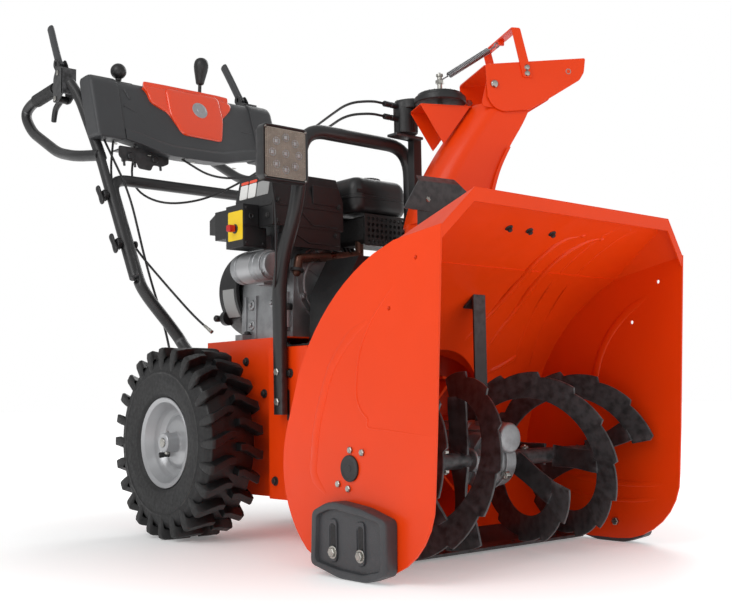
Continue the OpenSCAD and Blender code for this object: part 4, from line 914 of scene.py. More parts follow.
tread_black = surface("tread_black", srgb(15, 15, 16), 0.42, 0.1, 0.8, 24, 500, 0.5, 0.0006)
for side, hand in ((1, "left"), (-1, "right")):
    wheel = aimed(side * TYRE_X, AXLE.y, AXLE.z, (side, 0, 0))
    half_profile = eased([(83, 42, 0), (83, 47, 0), (92, 50.5, 0), (98, 56.5, 0), (122, 59.4, 0),
        (138, 59.6, 0), (139, 60.6, 0), (142, 60.6, 0), (143, 59.2, 0), (158, 56.4, 0), (170, 48, 0),
        (173, 20, 0), (173, 0, 0)], 3, 3)
    profile = [(p.x, p.y) for p in half_profile]
    profile += [(r, -h) for r, h in reversed(profile[:-1])]
    lathe(profile + [(90, -40), (90, 40)], wheel, 96, loop=True)
    carcass = finish("tyre_carcass_" + hand, "axle_rotor", "tyre", smooth=50)
    patch(carcass, tread_black, lambda p: abs(abs(p.x) - TYRE_X) < 50)
    for i in range(LUGS):
        lug(wheel, 1, 2 * pi * i / LUGS)
        lug(wheel, -1, 2 * pi * (i + 0.5) / LUGS)
    bmesh.ops.recalc_face_normals(forms[-1], faces=forms[-1].faces)
    soften(forms[-1], 1.6, 35)
    lugs = finish("tyre_lugs_" + hand, "axle_rotor", "tyre", instead="tyres" if side > 0 else None)
    patch(lugs, tread_black, lambda p: abs(abs(p.x) - TYRE_X) < 52)

    profile = [(90, 50.6), (90, 52), (88.6, 53), (84, 51.4), (80.5, 49.6), (78.6, 46), (77, 42.6), (72.5, 34),
        (70.6, 31), (69, 26), (65, 21.5), (61, 17.6), (58, 15.6), (54, 15.8), (50, 18.6), (46, 21.4),
        (42, 22.6), (24, 22.8), (20.6, 24), (19, 27), (19, 52.6), (17.6, 54), (9.7, 54), (9.7, -46),
        (17.6, -46), (19, -44.6), (19, 17), (24, 19), (42, 19), (48, 16), (54, 12.6), (60, 13.6), (65, 18),
        (67, 24), (67, -30), (74, -42), (77, -47), (83, -51), (88.6, -53), (90, -52), (90, -50.6),
        (82, -47.6), (79.5, -42), (71, -30.4), (71, 30.4), (79.5, 42), (82, 47.6)]
    lathe(profile, wheel, 96, loop=True)
    finish("rim_" + hand, "axle_rotor", "silver_paint", smooth=28, instead="wheel_rims" if side > 0 else None)
    valve = aimed(side * 236, AXLE.y + 30, AXLE.z - 24, (side * 0.92, 0.3, -0.1))
    lathe([(7, 0), (7, 4), (5.4, 7), (5, 14), (5.6, 15), (5.6, 22), (4.6, 24)], valve, 20)
    finish("valve_" + hand, "axle_rotor", "rubber")
    hex_head(aimed(side * PIN_X, AXLE.y, AXLE.z - 19, (0, 0, -1)), 5.4, 4)
    lathe([(2.8, 18), (2.8, 22.6), (1.6, 23.4)], put(side * PIN_X, AXLE.y, AXLE.z), 16)
    lathe([(9.3, 54.2), (9.3, 55.2), (8.4, 56)], wheel, 32)
    finish("axle_end_" + hand, "axle_rotor", "zinc")

# ------------------------------------------------------------------ frame

dressed("frame_box", 1.6)
for side in (1, -1):
    out = (side, 0, 0)
    for x, y, z in ((154.5, 542, 322), (154.5, 592, 118), (126, 666, 285), (126, 728, 350), (126, 850, 120)):
        hex_head(aimed(side * x, y, z, out), 6.4, 4.5, 9)
    # a thin dark plate on each side of the frame stands for a slot: painted shade
    prism(closed_eased([(545, 233), (553, 233), (553, 291), (545, 291)], 3), plane_x(side * 154.5 - 0.5), 1)
for x in (-93, 93):
    for y in (645, 773):
        hex_head(put(x, y, 408), 7, 5, 10)
finish("frame_screws", "chassis", "dark_steel")

# ------------------------------------------------------------------ handle

TUBE_R = 12.9
MEET = 232


def run_y(z):
    """Station of the handle's straight run at a height."""
    return 990 + (z - 540) * 0.549


def lower_limit(q):
    """Flattens the lower tube where it meets the upper one and the frame."""
    reach = MEET - 0.15 if q.z > 530 else 150 if q.y < 884 else 400
    q.x = max(-reach, min(reach, q.x))
    return q


def upper_limit(q):
    """Flattens the upper tube where it meets the lower one."""
    if q.z < 830 and abs(q.x) < MEET + 0.15:
        q.x = copysign(MEET + 0.15, q.x)
    return q


LOW_X, UP_X = 228.8, 235.2
half_low = [(-142, 786, 285), (-142, 940, 387), (-152, 957, 418), (-LOW_X + 4, 978, 512), (-LOW_X, run_y(552),
    552), (-LOW_X, run_y(780), 780)]
whole_low = half_low + [(-x, y, z) for x, y, z in reversed(half_low)]
tube(finely(eased(whole_low, 46, 8), 14), TUBE_R, TUBE_SIDES, (0, -0.87, 0.48), lower_limit)
finish("lower_handle_form", "chassis", "black_paint")

LOOP_X = 262
PIVOT = (1290, 1058)
TRIGGER = (1302, 998)
for side in (1, -1):
    riser = [(-UP_X, run_y(540), 540), (-UP_X, run_y(830), 830), (-240, run_y(900), 900), (-248, 1235, 990),
        (-LOOP_X + 2, 1262, 1030)]
    loop = [(-LOOP_X, 1262, 1034), (-LOOP_X, 1308, 1033), (-LOOP_X, 1478, 1024), (-LOOP_X, 1515, 1004),
        (-LOOP_X, 1470, 952), (-LOOP_X, 1318, 871), (-LOOP_X, 1225, 846), (-LOOP_X + 22, 1150, 838)]
    for points, r in ((riser, 30), (loop, 34)):
        path = [Vector((side * -p.x, p.y, p.z)) for p in finely(eased(points, r, 8), 14)]
        tube(path, TUBE_R, TUBE_SIDES, (1, 0, 0), upper_limit)
    for x in (-17, 13.6):
        outline = closed_eased([(1264, 1004), (1264, 1066), (1280, 1072), (1300, 1072), (1314, 1050),
            (1314, 990), (1290, 988)], 7)
        prism(outline, plane_x(side * (LOOP_X - x) - (3.4 if side > 0 else 0)), 3.4)
    box((side * LOOP_X - 17, 1262, 1004), (side * LOOP_X + 17, 1270, 1066))
finish("upper_handle_form", "handle", "black_paint", edge=0.6)
for side in (1, -1):
    for y, z in (PIVOT, TRIGGER):
        for out in (1, -1):
            lathe([(4, 0), (4, 1.4), (6.4, 1.4), (6.4, 2.4), (4.6, 3.4), (1.4, 3.8)],
                aimed(side * LOOP_X + out * 16.4, y, z, (out, 0, 0)), 28)
        lathe([(3.9, -16), (3.9, 16)], aimed(side * LOOP_X, y, z, (1, 0, 0)), 24)
finish("lever_pins", "handle", "zinc")

# Grips: soft sleeves with fine rings
GRIP_RINGS = 22
for side in (1, -1):
    a, b = Vector((side * LOOP_X, 1334, 1031.9)), Vector((side * LOOP_X, 1444, 1026))
    line = aimed(*a, b - a)
    span = (b - a).length
    profile = [(13.2, 0), (15.4, 0), (16, 1)]
    for k in range(GRIP_RINGS):
        h = 5 + (span - 10) * k / GRIP_RINGS
        profile += [(15.9, h), (15.2, h + 0.8), (15.2, h + 1.8), (15.9, h + 2.6)]
    profile += [(16, span - 1), (15.4, span), (13.2, span)]
    lathe(profile, line, 40, loop=True)
finish("handle_grips_form", "handle", "rubber", smooth=30)

# Clutch levers: a flat bar with a round end, on a forked bracket
for side, body, node in ((-1, "right_clutch", "right_clutch_lever"), (1, "left_clutch", "left_clutch_lever")):
    spine = spline([(LOOP_X, 1307, 1078), (LOOP_X, 1322, 1098), (LOOP_X - 3, 1352, 1146), (LOOP_X - 6.5, 1379,
        1189), (LOOP_X - 7, 1387, 1200)], 7)
    last = len(spine) - 1

    def bar(i):
        fade = 1 if i < last - 4 else sqrt(max(0.06, 1 - ((i - last + 4) / 4.1) ** 2))
        return [(a * 11.5 * fade, b * 7.6 * fade) for a, b in circle(1, 28)]
    sweep([Vector((side * p.x, p.y, p.z)) for p in spine], bar, (side * 1.0, 0.05, 0.02))
    finish(node + "_bar", body, "grey_plastic", smooth=60, instead=node)
    fork = closed_eased([(1281, 1050), (1298, 1050), (1326, 1084), (1322, 1098), (1308, 1100), (1296, 1084)],
        6)
    for x in (-12.5, 9.5):
        prism(fork, plane_x(side * LOOP_X + x), 3)
    box((side * LOOP_X - 12.5, 1306, 1080), (side * LOOP_X + 12.5, 1314, 1092))
    finish(node + "_fork", body, "black_plastic", edge=0.7)

for side, body, node in ((-1, "right_trigger_body", "right_trigger"), (1, "left_trigger_body",
        "left_trigger")):
    spine = spline([(0, 1299, 1001), (0, 1318, 992), (0, 1334, 983), (0, 1341, 970), (0, 1345, 955),
        (0, 1346, 951)], 6)
    last = len(spine) - 1

    def finger(i):
        fade = sqrt(max(0.08, 1 - max(0, (i - last + 5) / 5.2) ** 2))
        return [(a * (8 - 2.2 * i / last) * fade, b * (7.6 - 1.6 * i / last) * fade) for a, b in circle(1,
            28)]
    sweep([Vector((side * LOOP_X, p.y, p.z)) for p in spine], finger, (1, 0, 0))
    lathe([(4.1, -12), (8.2, -12), (9, -11), (9, 11), (8.2, 12), (4.1, 12)], aimed(side * LOOP_X, TRIGGER[0],
        TRIGGER[1], (1, 0, 0)), 40, loop=True)
    finish(node + "_form", body, "black_plastic", smooth=50)

# ------------------------------------------------------------------ console


def carve():
    """Takes the last form away from the one before it."""
    objects = []
    for part in forms[-2:]:
        bmesh.ops.recalc_face_normals(part, faces=part.faces)
        mesh = bpy.data.meshes.new("carving")
        part.to_mesh(mesh)
        part.free()
        objects.append(bpy.data.objects.new("carving", mesh))
        bpy.context.scene.collection.objects.link(objects[-1])
    cut = objects[0].modifiers.new("cut", "BOOLEAN")
    cut.operation, cut.solver, cut.object = "DIFFERENCE", "EXACT", objects[1]
    bpy.context.view_layer.update()
    forms[-2:] = [bmesh.new()]
    forms[-1].from_mesh(objects[0].evaluated_get(bpy.context.evaluated_depsgraph_get()).to_mesh())
    for o in objects:
        bpy.data.objects.remove(o)


LEVER_Y = 1203
SPEED_X, STICK_X = 60, -165


def console_section(x, fb, ft, depth, d):
    """A section of the console at x: front bottom, front top, depth, drawn in by d."""
    outline = [(fb[0] + d, fb[1] + d), (ft[0] + d, ft[1] - d), (ft[0] + 17, ft[1] + 14 - d),
        (ft[0] + depth - d, ft[1] + 12 - d), (ft[0] + depth - 6 - d, ft[1] - 20), (fb[0] + depth - d,
        fb[1] + 2 + d)]
    return [Vector((x, y, z)) for y, z in closed_eased(outline, 9, 5)]


FT, FB = (1164, 1022), (1118, 876)
low = ((-186.5, FB), (-150, (1113, 868)), (-105, (1101, 853)), (-74, (1094, 846)), (-40, (1093, 845)),
    (40, (1093, 846)), (70, (1094, 848)), (105, (1101, 857)), (150, (1113, 869)), (186.5, FB))
skin([console_section(x, fb, FT, 66, 4) for x, fb in low])
for side in (1, -1):
    cap = ((258, 10), (257.4, 6.5), (255.4, 3.4), (252, 1.4), (247, 0.2), (230, 0), (191, 0), (188.4, 0.8),
        (187.4, 2.2), (186.8, 5.5))
    skin([console_section(side * x, FB, FT, 62, d) for x, d in cap])
forms.append(bmesh.new())
box((SPEED_X - 9, LEVER_Y - 24, 972), (SPEED_X + 9, LEVER_Y + 22, 1060))
box((STICK_X - 26, LEVER_Y - 9, 972), (STICK_X + 26, LEVER_Y + 9, 1060))
carve()
finish("console_form", "handle", "grey_plastic", smooth=30)
for x, w, l in ((SPEED_X, 26, 56), (STICK_X, 62, 26)):
    outer, inner = rounded_box(w, l, 4), rounded_box(w - 7.6, l - 7.6, 2)
    place = put(x, LEVER_Y - 1, 1031.5)
    skin([[place @ Vector((a, b, h)) for a, b in ring] for ring, h in ((inner, 0), (outer, 0), (outer, 2.4),
        (inner, 3.2))], loop=True)
finish("lever_gates", "handle", "black_plastic", edge=0.3)
FACE_SLOPE = (FT[0] - FB[0]) / (FT[1] - FB[1])
face_out = Vector((0, -1, FACE_SLOPE)).normalized()


def on_face(x, z, out):
    """A point over the console's front face, out from it."""
    return Vector((x, FB[0] + 4 + (z - FB[1]) * FACE_SLOPE, z)) + face_out * out


# ledge along the console's lower edge
rings = []
for x, fb in low:
    ring = [(h, out) for h, out in ((-1, -1.2), (2, -3.2), (21, -3.6), (24, -2.6), (29, 1.2), (12, 3),
        (1, 3))]
    rings.append([Vector((x, fb[0] + 4 + h * FACE_SLOPE + out, fb[1] + 4 + h)) for h, out in ring])
skin(rings)
finish("console_ledge", "handle", "grey_plastic", edge=0.4)
# creases moulded into the console's face
for line in (((-172, 1008), (-160, 985)), ((-178, 966), (-128, 944), (-84, 904)), ((100, 936), (138, 950),
        (178, 948))):
    tube(finely(eased([on_face(x, z, -0.6) for x, z in line], 18, 5), 8), 2.6, 12, (0, 0, 1))
finish("console_creases", "handle", "grey_plastic", smooth=60)
# bracket that holds the cable ends under the console
prism(closed_eased([(-196, 866), (-196, 842), (-184, 832), (-150, 832), (-144, 818), (-112, 816), (-106, 830),
    (-80, 830), (-64, 838), (-64, 866)], 5), plane_y(1140), 3)
for x in (-180, -152, -118, -84):
    lathe([(4, -7), (6, -6.4), (6, 6.4), (4, 7)], aimed(x, 1147, 838, (0, 0.2, 1)), 20)
    lathe([(2, -18), (3, -17.6), (3, -7)], aimed(x, 1147, 838, (0, 0.2, 1)), 16)
for x in (-166, -102):
    lathe([(3, -6), (9, -6), (9, 2), (7, 4)], aimed(x, 1138, 844, (0, -1, 0)), 24)
box((-190, 1143, 858), (-70, 1180, 862))
finish("cable_bracket", "handle", "black_paint", edge=0.5)
# rivets under the console
for x in (-200, -120, 0, 120, 200):
    lathe([(5, 0), (5, 1.2), (3.4, 2.6), (1, 3)], aimed(x, 1135 if abs(x) < 150 else 1150, 872 if abs(x) > 150
        else 852, (0, 0.3, -1)), 20)
finish("console_rivets", "handle", "zinc")

# Cover: a bulged panel with a wing over the top on each side
def panel(outline, heights, r):
    """A domed panel over the console's face: (out, inset) for each ring."""
    rings = []
    line = closed_eased(outline, r, 6)
    for out, inset in heights:
        rings.append([on_face(x, z, out) for x, z in inset_line(line, inset)])
    skin(rings)


panel([(-124, 1024), (-64, 1026), (92, 1026), (128, 1018), (124, 1002), (90, 968), (74, 936), (-52, 940),
    (-64, 962), (-106, 984), (-112, 1010)], ((-3, 0), (4, 0), (6.4, 1.4), (7.4, 4), (7.6, 9)), 9)
panel([(-62, 1027), (88, 1027), (92, 966), (76, 904), (-36, 907), (-62, 960)], ((-3, 0), (8.4, 0),
    (11.6, 1.6), (13, 5), (13.6, 12), (14, 26)), 12)
# over the top edge
top_line = [(-120, 1166), (-66, 1163), (90, 1163), (126, 1168), (120, 1192), (84, 1204), (78, 1176),
    (44, 1176), (40, 1206), (-100, 1206)]
skin([[Vector((x, y, z)) for x, y in inset_line(closed_eased(top_line, 6), d)] for z, d in ((1020, 0),
    (1035.6, 0), (1037.6, 1.6), (1038, 4))])
finish("console_cover_form", "handle", "cover_plastic", smooth=50)
# a plain round medallion in place of any badge
medal = put(*(on_face(24, 980, 13.4))) @ face_out.to_track_quat("Z", "Y").to_matrix().to_4x4()
lathe([(21, 0), (21, 1), (19.8, 1.8), (17.6, 1.8), (17, 1.1), (8, 1.2), (7.4, 1.9), (0.4, 2.1)], medal, 56)
finish("console_medallion", "handle", "silver_paint", smooth=40)

# Levers with their knobs
tilt = put(SPEED_X, LEVER_Y, 985) @ turned(3, "X")
lathe([(4.4, 0), (4.4, 84), (7, 86), (7, 90)], tilt, 28)
lathe([(4, -8), (7.4, -8), (8, -7), (8, 7), (7.4, 8), (4, 8)], aimed(SPEED_X, LEVER_Y, 985, (1, 0, 0)), 32)
knob = aimed(SPEED_X, LEVER_Y - 4, 1068, (0, -0.14, 1))
lathe([(6, 0), (9, 1.5), (10.4, 5), (11.8, 12), (14.4, 24), (17, 36), (18.3, 46), (18, 53), (16.4, 59.4),
    (13, 64.4), (8, 67.6), (2, 69)], knob, 48)
finish("speed_lever_form", "speed_body", "black_plastic", smooth=50)
lathe([(4.4, 0), (4.4, 58)], put(STICK_X, LEVER_Y, 985), 28)
lathe([(4, -7), (7.4, -7), (8, -6), (8, 6), (7.4, 7), (4, 7)], aimed(STICK_X, LEVER_Y, 985, (0, 1, 0)), 32)
ball = [(19 * sin(a), 77 - 19 * cos(a)) for a in [radians(20 + 158 * k / 22) for k in range(23)]]
lathe([(7, 54), (7.6, 58)] + ball, put(STICK_X, LEVER_Y, 985), 48)
finish("chute_lever_form", "chute_lever_body", "black_plastic", smooth=50)

# Wing knobs of the folding joint
for side in (1, -1):
    for z in (618, 735):
        place = aimed(side * (MEET + 17), run_y(z), z, (side, 0, 0))
        lathe([(4, -2), (9, -2), (11.4, 0), (12, 3), (12, 8), (10.6, 10.6), (9.4, 11)], place, 36)
        for k in range(12):
            rib = place @ turned(30 * k, "Z")
            box((11, -1, 1), (12.9, 1, 8), rib)
        wing = side * (MEET + 38)
        a, b = Vector((wing, run_y(z) - 14, z - 22)), Vector((wing, run_y(z) + 14, z + 22))
        spine = [a.lerp(b, k / 16) for k in range(17)]

        def blade(i):
            u = abs(i / 8 - 1)
            fade = sqrt(max(0.05, 1 - u ** 6))
            return [(p * (3.8 + 1.6 * u) * fade, q * (9 - 2.4 * (1 - u)) * fade) for p, q in circle(1, 24)]
        sweep([p + Vector((-side * 5, 0, 0)) for p in spine], blade, (0, 0.84, -0.53))
        if z == 618:
            lathe([(8.6, 0), (9, 0.6), (9, 4.4), (8.4, 5)], aimed(side * 214.8, run_y(z), z, (-side, 0, 0)),
                32)
        lathe([(3.9, -17 if z < 700 else -16), (3.9, 20)], aimed(side * MEET, run_y(z), z, (side, 0, 0)), 20)
finish("wing_knobs_form", "handle", "black_plastic", smooth=45)

# ------------------------------------------------------------------ cables

CABLES = [[(-200, 1160, 884), (-205, 1166, 800), (-204, 1128, 700), (-196, 1070, 620), (-150, 990, 520),
    (-116, 940, 455), (-104, 890, 420)], [(-150, 1150, 872), (-150, 1172, 780), (-110, 1105, 730),
    (-20, 1060, 742), (60, 1010, 790), (60, 820, 830), (20, 640, 838), (-20, 530, 837), (6, 486, 836),
    (42.5, 486, 836)], [(-40, 1120, 850), (20, 1070, 800), (90, 960, 798), (70, 780, 860), (30, 640, 868),
    (-12, 530, 864), (12, 486, 862), (42.5, 486, 862)], [(-226, 1164, 888), (-210, 1064, 740),
    (-196, 1006, 560), (-166, 985, 440), (-166, 950, 350), (-150, 905, 322)]]
# where each cable goes over from the frame's motion to the handle's, in (y, z)
CABLE_BENDS = (((1039, 717), (1180, 774)), ((905, 600), (1105, 600)), ((905, 600), (1105, 600)),
    ((1009, 687), (1076, 715)))
for number, (route, (still, moving)) in enumerate(zip(CABLES, CABLE_BENDS)):
    path = finely(eased(route, 60, 8), 16)
    tube(path, 2.6, 14)
    cable = finish("control_cable_%d" % (number + 1), None, "rubber", smooth=60, instead="control_cables"
        if number == 0 else None)
    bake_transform(cable)
# ends of the cables: ferrules and a threaded adjuster
for number, (back_end, stop) in enumerate((((-104, 890, 420), (-116, 940, 455)),
        ((-150, 905, 322), (-166, 950, 350)))):
    place = aimed(*back_end, Vector(stop) - Vector(back_end))
    lathe([(2.7, 0), (4.4, 0.5), (4.4, 12), (3.6, 13), (3.6, 26), (2.8, 28)], place, 20, loop=True)
finish("cable_ferrules", "chassis", "zinc")

# ------------------------------------------------------------------ engine


def plate(name, place, w, h, look):
    """A thin blank plate in the place's XY plane."""
    ring = rounded_box(w, h, 3)
    skin([[place @ Vector((a * k, b * k, t)) for a, b in ring] for t, k in ((-0.4, 1), (0.8, 1),
        (1.1, 0.985))])
    finish(name, "chassis", "red_plastic", look=look)


CYLINDER = Vector((0, 720, CRANK_Z))
LEAN = Vector((sin(radians(58)), 0, cos(radians(58))))
fins_black = surface("fins_black", srgb(52, 52, 54), 0.5, vary=0.3, tone=0.15, bump=0.3, Metallic=0.4)
block = dressed("engine_block", 1.6)
patch(block, fins_black, lambda p: (p - CYLINDER).dot(LEAN) > 80 and p.z > 520 and p.x > 45)
front = aimed(0, 616, CRANK_Z, (0, -1, 0))
lathe([(66, -1), (66, 1.6), (64, 3), (60, 3), (58, 1.6), (58, -1)], front, 72, loop=True)
for k in range(8):
    a = radians(22 + 45 * k)
    hex_head(front @ put(71.5 * cos(a), 71.5 * sin(a), 0), 5.2, 4, 7)
for k in range(6):
    rib = front @ turned(60 * k + 30, "Z")
    box((31, -2, -1), (60, 2, 2.4), rib)
# webs and bosses on the case's right side
for y in (640, 676, 748, 784):
    box((-90, y - 3, 400), (-82, y + 3, 488))
for y, z in ((652, 426), (690, 470), (764, 470), (764, 428)):
    lathe([(11, -4), (11, 3), (9, 4.4), (5, 4.4)], aimed(-86, y, z, (-1, 0, 0)), 32)
    hex_head(aimed(-90.4, y, z, (-1, 0, 0)), 5.6, 4)
finish("engine_case_details", "chassis", "casting", edge=0.7)
lathe([(14.6, 0), (17, 1), (17.6, 3), (17.6, 10), (15, 14), (8, 15)], put(-92, 640, 449.6), 40)
box((-105, 638, 463), (-79, 642, 471))
finish("oil_filler_cap", "chassis", "black_plastic", edge=0.6)

# Shroud with its seams, side panel and screws
dressed("engine_shroud", 2, 28)
box((-156, 588.6, 651), (17, 591, 655.4))
box((-159.2, 594, 651), (-157, 714, 655.4))
box((-128, 588.4, 611), (12, 590.6, 616))
for a, b in (((-96, 650), (-60, 618)), ((-60, 618), (6, 618)), ((-122, 606), (-70, 582)),
        ((-70, 582), (8, 582))):
    tube([Vector((a[0], 589.6, a[1])), Vector((b[0], 589.6, b[1]))], 1.7, 10, (0, 1, 0))
box((-60, 588, 662), (4, 591, 700))
finish("shroud_seams", "chassis", "black_plastic", edge=0.9)
for x, z in ((-148, 620), (8, 662), (-144, 662), (0, 602), (-122, 580)):
    hex_head(aimed(x, 590, z, (0, -1, 0)), 4.4, 3, 6)
for y in (606, 700, 770):
    hex_head(aimed(-158, y, 632, (-1, 0, 0)), 4.4, 3, 6)
finish("shroud_screws", "chassis", "dark_steel")
# blank label on the shroud's side
label_white = surface("label_white", srgb(225, 225, 222), 0.5, vary=0.05, bump=0.05)
label_grey = surface("label_grey", srgb(150, 151, 150), 0.45, vary=0.08, bump=0.05)
label_yellow = surface("label_yellow", srgb(232, 196, 18), 0.45, vary=0.08, bump=0.05)


def side_plate(name, y, z, w, h, look):
    """A blank plate on the leaning side of the shroud."""
    place = aimed(-158 + (z - 672) / 6, y, z, (-1, 0, 1 / 6))
    plate(name, place, w, h, look)


for number, y in enumerate((691, 662)):
    side_plate("blank_label_%d" % (number + 1), y, 689, 26, 30, label_white)
    side_plate("blank_band_%d" % (number + 1), y, 708, 26, 6, materials["cover_plastic"])
side_plate("blank_label_3", 625, 689, 40, 30, label_grey)

# Control box: face plate, yellow plate behind the key, rounded key
dressed("control_box", 3, 30)
box((-194, 634.6, 574), (-143, 637, 609))
box((-194, 634.6, 614), (-161, 637, 653))
lathe([(2.4, 0), (6, 0), (6, 1.6), (4.4, 2.4), (2.6, 1)], aimed(-178, 634.8, 632, (0, -1, 0)), 32, loop=True)
for x, z in ((-189, 579), (-149, 579), (-189, 648)):
    lathe([(3.4, 0), (3.4, 1.4), (2, 2.4)], aimed(x, 634.8, z, (0, -1, 0)), 20)
finish("control_box_face", "chassis", "black_plastic", edge=0.8)
KEY = Vector((-196, 662, 608))
facing = put(*KEY) @ Vector((-1, 0, 0)).to_track_quat("Z", "Y").to_matrix().to_4x4()
plate("key_plate", facing @ put(0, 6, 0), 50, 58, label_yellow)
lathe([(4.2, 0.6), (9.4, 0.6), (9.4, 2), (7.6, 3.4), (4.2, 3.4)], facing, 36, loop=True)
finish("key_ring", "chassis", "black_plastic")
lathe([(3.2, -20), (3.2, 9)], facing, 24)
bow = closed_eased([(-7, -7), (7, -7), (7, 7), (-7, 7)], 4)
place = facing @ put(0, 0, 9)
skin([[place @ Vector((a * k, b * k, t)) for a, b in bow] for t, k in ((-4, 0.9), (-2.6, 1), (7.4, 1),
    (9, 0.84))])
finish("ignition_key_form", "key_body", "red_plastic", edge=0.3)

# Starter motor
line = aimed(-148, 706, 535, (0, -1, 0))
lathe([(6, -26), (12, -25), (18, -20), (26, -9), (30.4, -2), (31, 0), (31, 12), (30, 13), (30, 15), (31, 16),
    (31, 74), (30, 75), (30, 77), (31, 78), (31, 92), (29.4, 95.4), (26.4, 96), (26, 97), (26, 104),
    (24, 107), (20, 108), (6, 108)], line, 64)
for a in (35, 215):
    bolt = line @ turned(a, "Z") @ put(24, 0, 96)
    hex_head(bolt, 4.4, 5, 7)
box((-118, 640, 515), (-83, 680, 545))
box((-140, 646, 500), (-84, 674, 508))
finish("starter_form", "chassis", "casting", edge=0.5, instead="starter_motor", smooth=36)
lathe([(31.2, 20), (31.6, 20.4), (31.6, 62), (31.2, 62.4)], line, 64)
finish("starter_sleeve", "chassis", "silver_paint")

# Muffler: the pipe is tinted by heat
heat_brown = surface("heat_brown", srgb(118, 82, 68), 0.42, vary=0.5, tone=0.45, bump=0.15, Metallic=0.75)
exhaust = dressed("muffler", 0.8, 30)
patch(exhaust, heat_brown, lambda p: p.y < 614 and p.z < 591)
for x, z in ((76, 640), (172, 640), (76, 604), (172, 604)):
    hex_head(aimed(x, 578, z, (0, -1, 0)), 5, 4, 7)
lathe([(9.2, 0), (13, 0), (13.6, 1), (13.6, 5), (13, 6), (9.2, 6)], aimed(-88.5, 604, 531, (-0.21, 0, -0.98)),
    36, loop=True)
finish("muffler_bolts", "chassis", "dark_steel")

# Recoil starter: rim, ribs and a blank plate
dressed("recoil_housing", 1.2, 35)
recoil = aimed(0, 801, CRANK_Z, (0, 1, 0))
lathe([(98, 1), (100.5, 1), (101, 2), (101, 8), (100.5, 9), (98, 9)], recoil, 96, loop=True)
for k in range(6):
    a = radians(60 * k + 20)
    ear = recoil @ put(100 * cos(a), 100 * sin(a), 0)
    lathe([(3, 1), (7, 1), (7, 9), (3, 9)], ear, 24, loop=True)
    hex_head(ear @ put(0, 0, 9), 5, 4, 7)
for r, h in ((40, 78), (88, 69)):
    lathe([(r, h), (r, h + 2.5), (r - 3, h + 2.5), (r - 3, h)], recoil, 72, loop=True)
finish("recoil_details", "chassis", "black_plastic")
band = [radians(k) for k in range(178, 216, 2)]
line = [(98.9, a) for a in band] + [(98.1, a) for a in reversed(band)]
skin([[Vector((r * cos(a), y, CRANK_Z + r * sin(a))) for r, a in line] for y in (814, 856)])
finish("recoil_plate", "chassis", "zinc", look=label_grey)
grip = aimed(-98, 890, 450, (1, 0, 0))
lathe([(1, 0), (5, 0.6), (7.2, 3), (7.5, 6), (6.8, 14), (6.4, 20), (6.8, 26), (7.5, 34), (7.2, 37), (5, 39.4),
    (1, 40)], grip, 32)
lathe([(6, 0), (6, 8), (5.4, 12)], aimed(-78, 877, 450, (0, 1, 0)), 24)
finish("recoil_grip", "pull_body", "black_plastic", smooth=50, instead="recoil_handle")
tube([Vector((-78, 716, 450)), Vector((-78, 800, 450)), Vector((-78, 878, 450))], 2.5, 16, (1, 0, 0))
finish("recoil_rope", "pull_body", "rubber")

# Fuel tank: two moulded halves with a seam, and its cap
tank = put(115, 639, 0)
skin([[tank @ Vector((a, b, z)) for a, b in rounded_box(150 - 2 * d, 130 - 2 * d, max(26 - d, 8), 6)]
    for z, d in ((656.2, 12), (657.4, 8), (661, 4), (667, 0.8), (674, 0.2), (686, 0), (687, -1.6),
    (691, -1.6), (692, 0), (706, 0.2), (714, 1.2), (722, 4), (727, 8), (730.6, 13), (731.8, 18))])
neck = put(150, 660, 731)
lathe([(21, 0), (21, 6.2), (16, 6.2)], neck, 48)
box((44, 572.6, 697), (92, 575, 703))
finish("fuel_tank_form", "chassis", "black_plastic", smooth=34)
cap = put(150, 660, 737.3)
CAP_RIBS = 24
knurl = [(26.9 - (1.6 if k % 4 > 1 else 0), 2 * pi * k / (4 * CAP_RIBS)) for k in range(4 * CAP_RIBS)]
skin([[cap @ Vector((r * s * cos(a), r * s * sin(a), z)) for r, a in knurl] for z, s in ((0, 0.985), (0.8, 1),
    (8.6, 0.99), (10, 0.95))])
lathe([(22, 10), (21, 10.9), (6, 11)], cap, 48)
finish("fuel_cap_form", "cap_body", "black_plastic", smooth=30)

# Belt cover: a moulded hood on a flange
outline = [(-71, 374), (-66, 480), (-24, 550), (24, 550), (66, 480), (71, 374)]
prism(outline, plane_y(491), 100.6)
soften(forms[-1], 5, 30, 3)
finish("belt_cover_form", "chassis", "black_plastic")
box((-148, 491, 373), (148, 592, 376))
for x in (-132, 132, -92, 92):
    for y in (506, 580):
        hex_head(put(x, y, 376), 5, 3.6, 8)
for z in (404, 450):
    box((-64, 489.8, z), (64, 492, z + 3))
finish("belt_cover_flange", "chassis", "black_plastic", edge=0.8)
for x in (-50, 50):
    hex_head(aimed(x, 491, 388, (0, -1, 0)), 5.5, 3.6, 8)
    finish("belt_cover_bolt_%s" % ("right" if x < 0 else "left"), "chassis", "zinc")

# Wire from the lamp down the post
wire = [(-206, 534, 716), (-196, 540, 690), (-192, 536, 640), (-196, 528, 590), (-192, 534, 520),
    (-178, 560, 470), (-150, 600, 430), (-120, 640, 412)]
tube(finely(eased(wire, 40, 8), 14), 2.2, 12)
finish("lamp_wire", "chassis", "rubber", smooth=60)

# ------------------------------------------------------------------ camera, floor and light

# Where the photograph was taken from: place, azimuth, elevation and roll
CAMERA_PLACE = at(-1390.1, -1106.7, 271.2)
AZIMUTH, ELEVATION, ROLL = (radians(v) for v in (-40.87, -5.04, -0.86))
LENS = 53.51

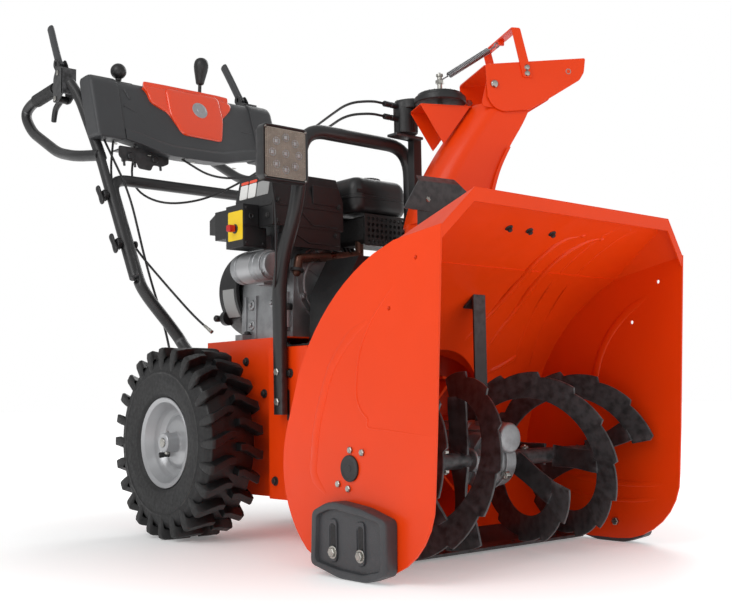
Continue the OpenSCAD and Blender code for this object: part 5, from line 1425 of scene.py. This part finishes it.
back = Vector((sin(AZIMUTH) * cos(ELEVATION), -cos(AZIMUTH) * cos(ELEVATION), sin(ELEVATION)))
level = Vector((cos(AZIMUTH), sin(AZIMUTH), 0))
upright = back.cross(level)
right = cos(ROLL) * level + sin(ROLL) * upright
up = cos(ROLL) * upright - sin(ROLL) * level
camera_data = bpy.data.cameras.new("camera")
camera_data.lens = LENS
camera_data.sensor_width = 36
camera_data.clip_end = 100
camera = bpy.data.objects.new("camera", camera_data)
camera.matrix_world = put(*CAMERA_PLACE) @ Matrix((right, up, back)).transposed().to_4x4()
bpy.context.scene.collection.objects.link(camera)
bpy.context.scene.camera = camera

floor_mesh = bpy.data.meshes.new("floor")
bmesh.ops.create_grid(forms[-1], x_segments=2, y_segments=2, size=30)
forms[-1].to_mesh(floor_mesh)
floor = bpy.data.objects.new("floor", floor_mesh)
floor_look = Look("pale floor")
floor_look.link(floor_look.ramp(floor_look.noise(3, 2), 0.3, 0.7, (0.93, 0.93, 0.93, 1),
    (0.95, 0.95, 0.95, 1)), floor_look.shader.inputs["Base Color"])
floor_look.set(Roughness=0.6, Emission_Color=(1, 1, 1, 1))
# the floor glows, more away from the machine: this paints the floor darker near it, a painted shade round the
# machine that keeps the shadows under it deep
distance = floor_look.tree.nodes.new("ShaderNodeVectorMath")
distance.operation = "LENGTH"
where = floor_look.tree.nodes.new("ShaderNodeNewGeometry")
floor_look.link(where.outputs["Position"], distance.inputs[0])
glow = floor_look.tree.nodes.new("ShaderNodeMapRange")
glow.interpolation_type = "SMOOTHSTEP"
for socket, value in (("From Min", 0.3), ("From Max", 1.35), ("To Min", 0.16), ("To Max", 0.62)):
    glow.inputs[socket].default_value = value
floor_look.link(distance.outputs["Value"], glow.inputs["Value"])
floor_look.link(glow.outputs["Result"], floor_look.shader.inputs["Emission Strength"])
floor_mesh.materials.append(floor_look.material)
bpy.context.scene.collection.objects.link(floor)


def softbox(name, place, target, size, power):
    """An area light aimed at a point."""
    data = bpy.data.lights.new(name, "AREA")
    data.shape, data.size, data.size_y, data.energy = "RECTANGLE", size[0], size[1], power
    light = bpy.data.objects.new(name, data)
    light.location = place
    light.rotation_euler = (Vector(target) - Vector(place)).to_track_quat("-Z", "Y").to_euler()
    bpy.context.scene.collection.objects.link(light)


softbox("key", (-3.0, -0.9, 2.6), (0, 0, 0.5), (2.2, 2.2), 48)
softbox("fill", (-0.6, -4.2, 1.2), (0, 0, 0.4), (3, 1.6), 10)
softbox("rim", (2.8, 1.6, 2.8), (0, 0, 0.6), (2, 2), 40)
world = bpy.data.worlds.new("studio")
world.use_nodes = True
tree = world.node_tree
sky = tree.nodes["Background"]
sky.inputs["Strength"].default_value = 0.55
seen = tree.nodes.new("ShaderNodeBackground")
for background in (sky, seen):
    background.inputs["Color"].default_value = (1, 1, 1, 1)
choose = tree.nodes.new("ShaderNodeMixShader")
rays = tree.nodes.new("ShaderNodeLightPath")
for source, target in ((rays.outputs["Is Camera Ray"], choose.inputs["Fac"]), (sky.outputs["Background"],
        choose.inputs[1]), (seen.outputs["Background"], choose.inputs[2]), (choose.outputs["Shader"],
        tree.nodes["World Output"].inputs["Surface"])):
    tree.links.new(source, target)
bpy.context.scene.world = world
bpy.context.scene.view_settings.view_transform = "Standard"
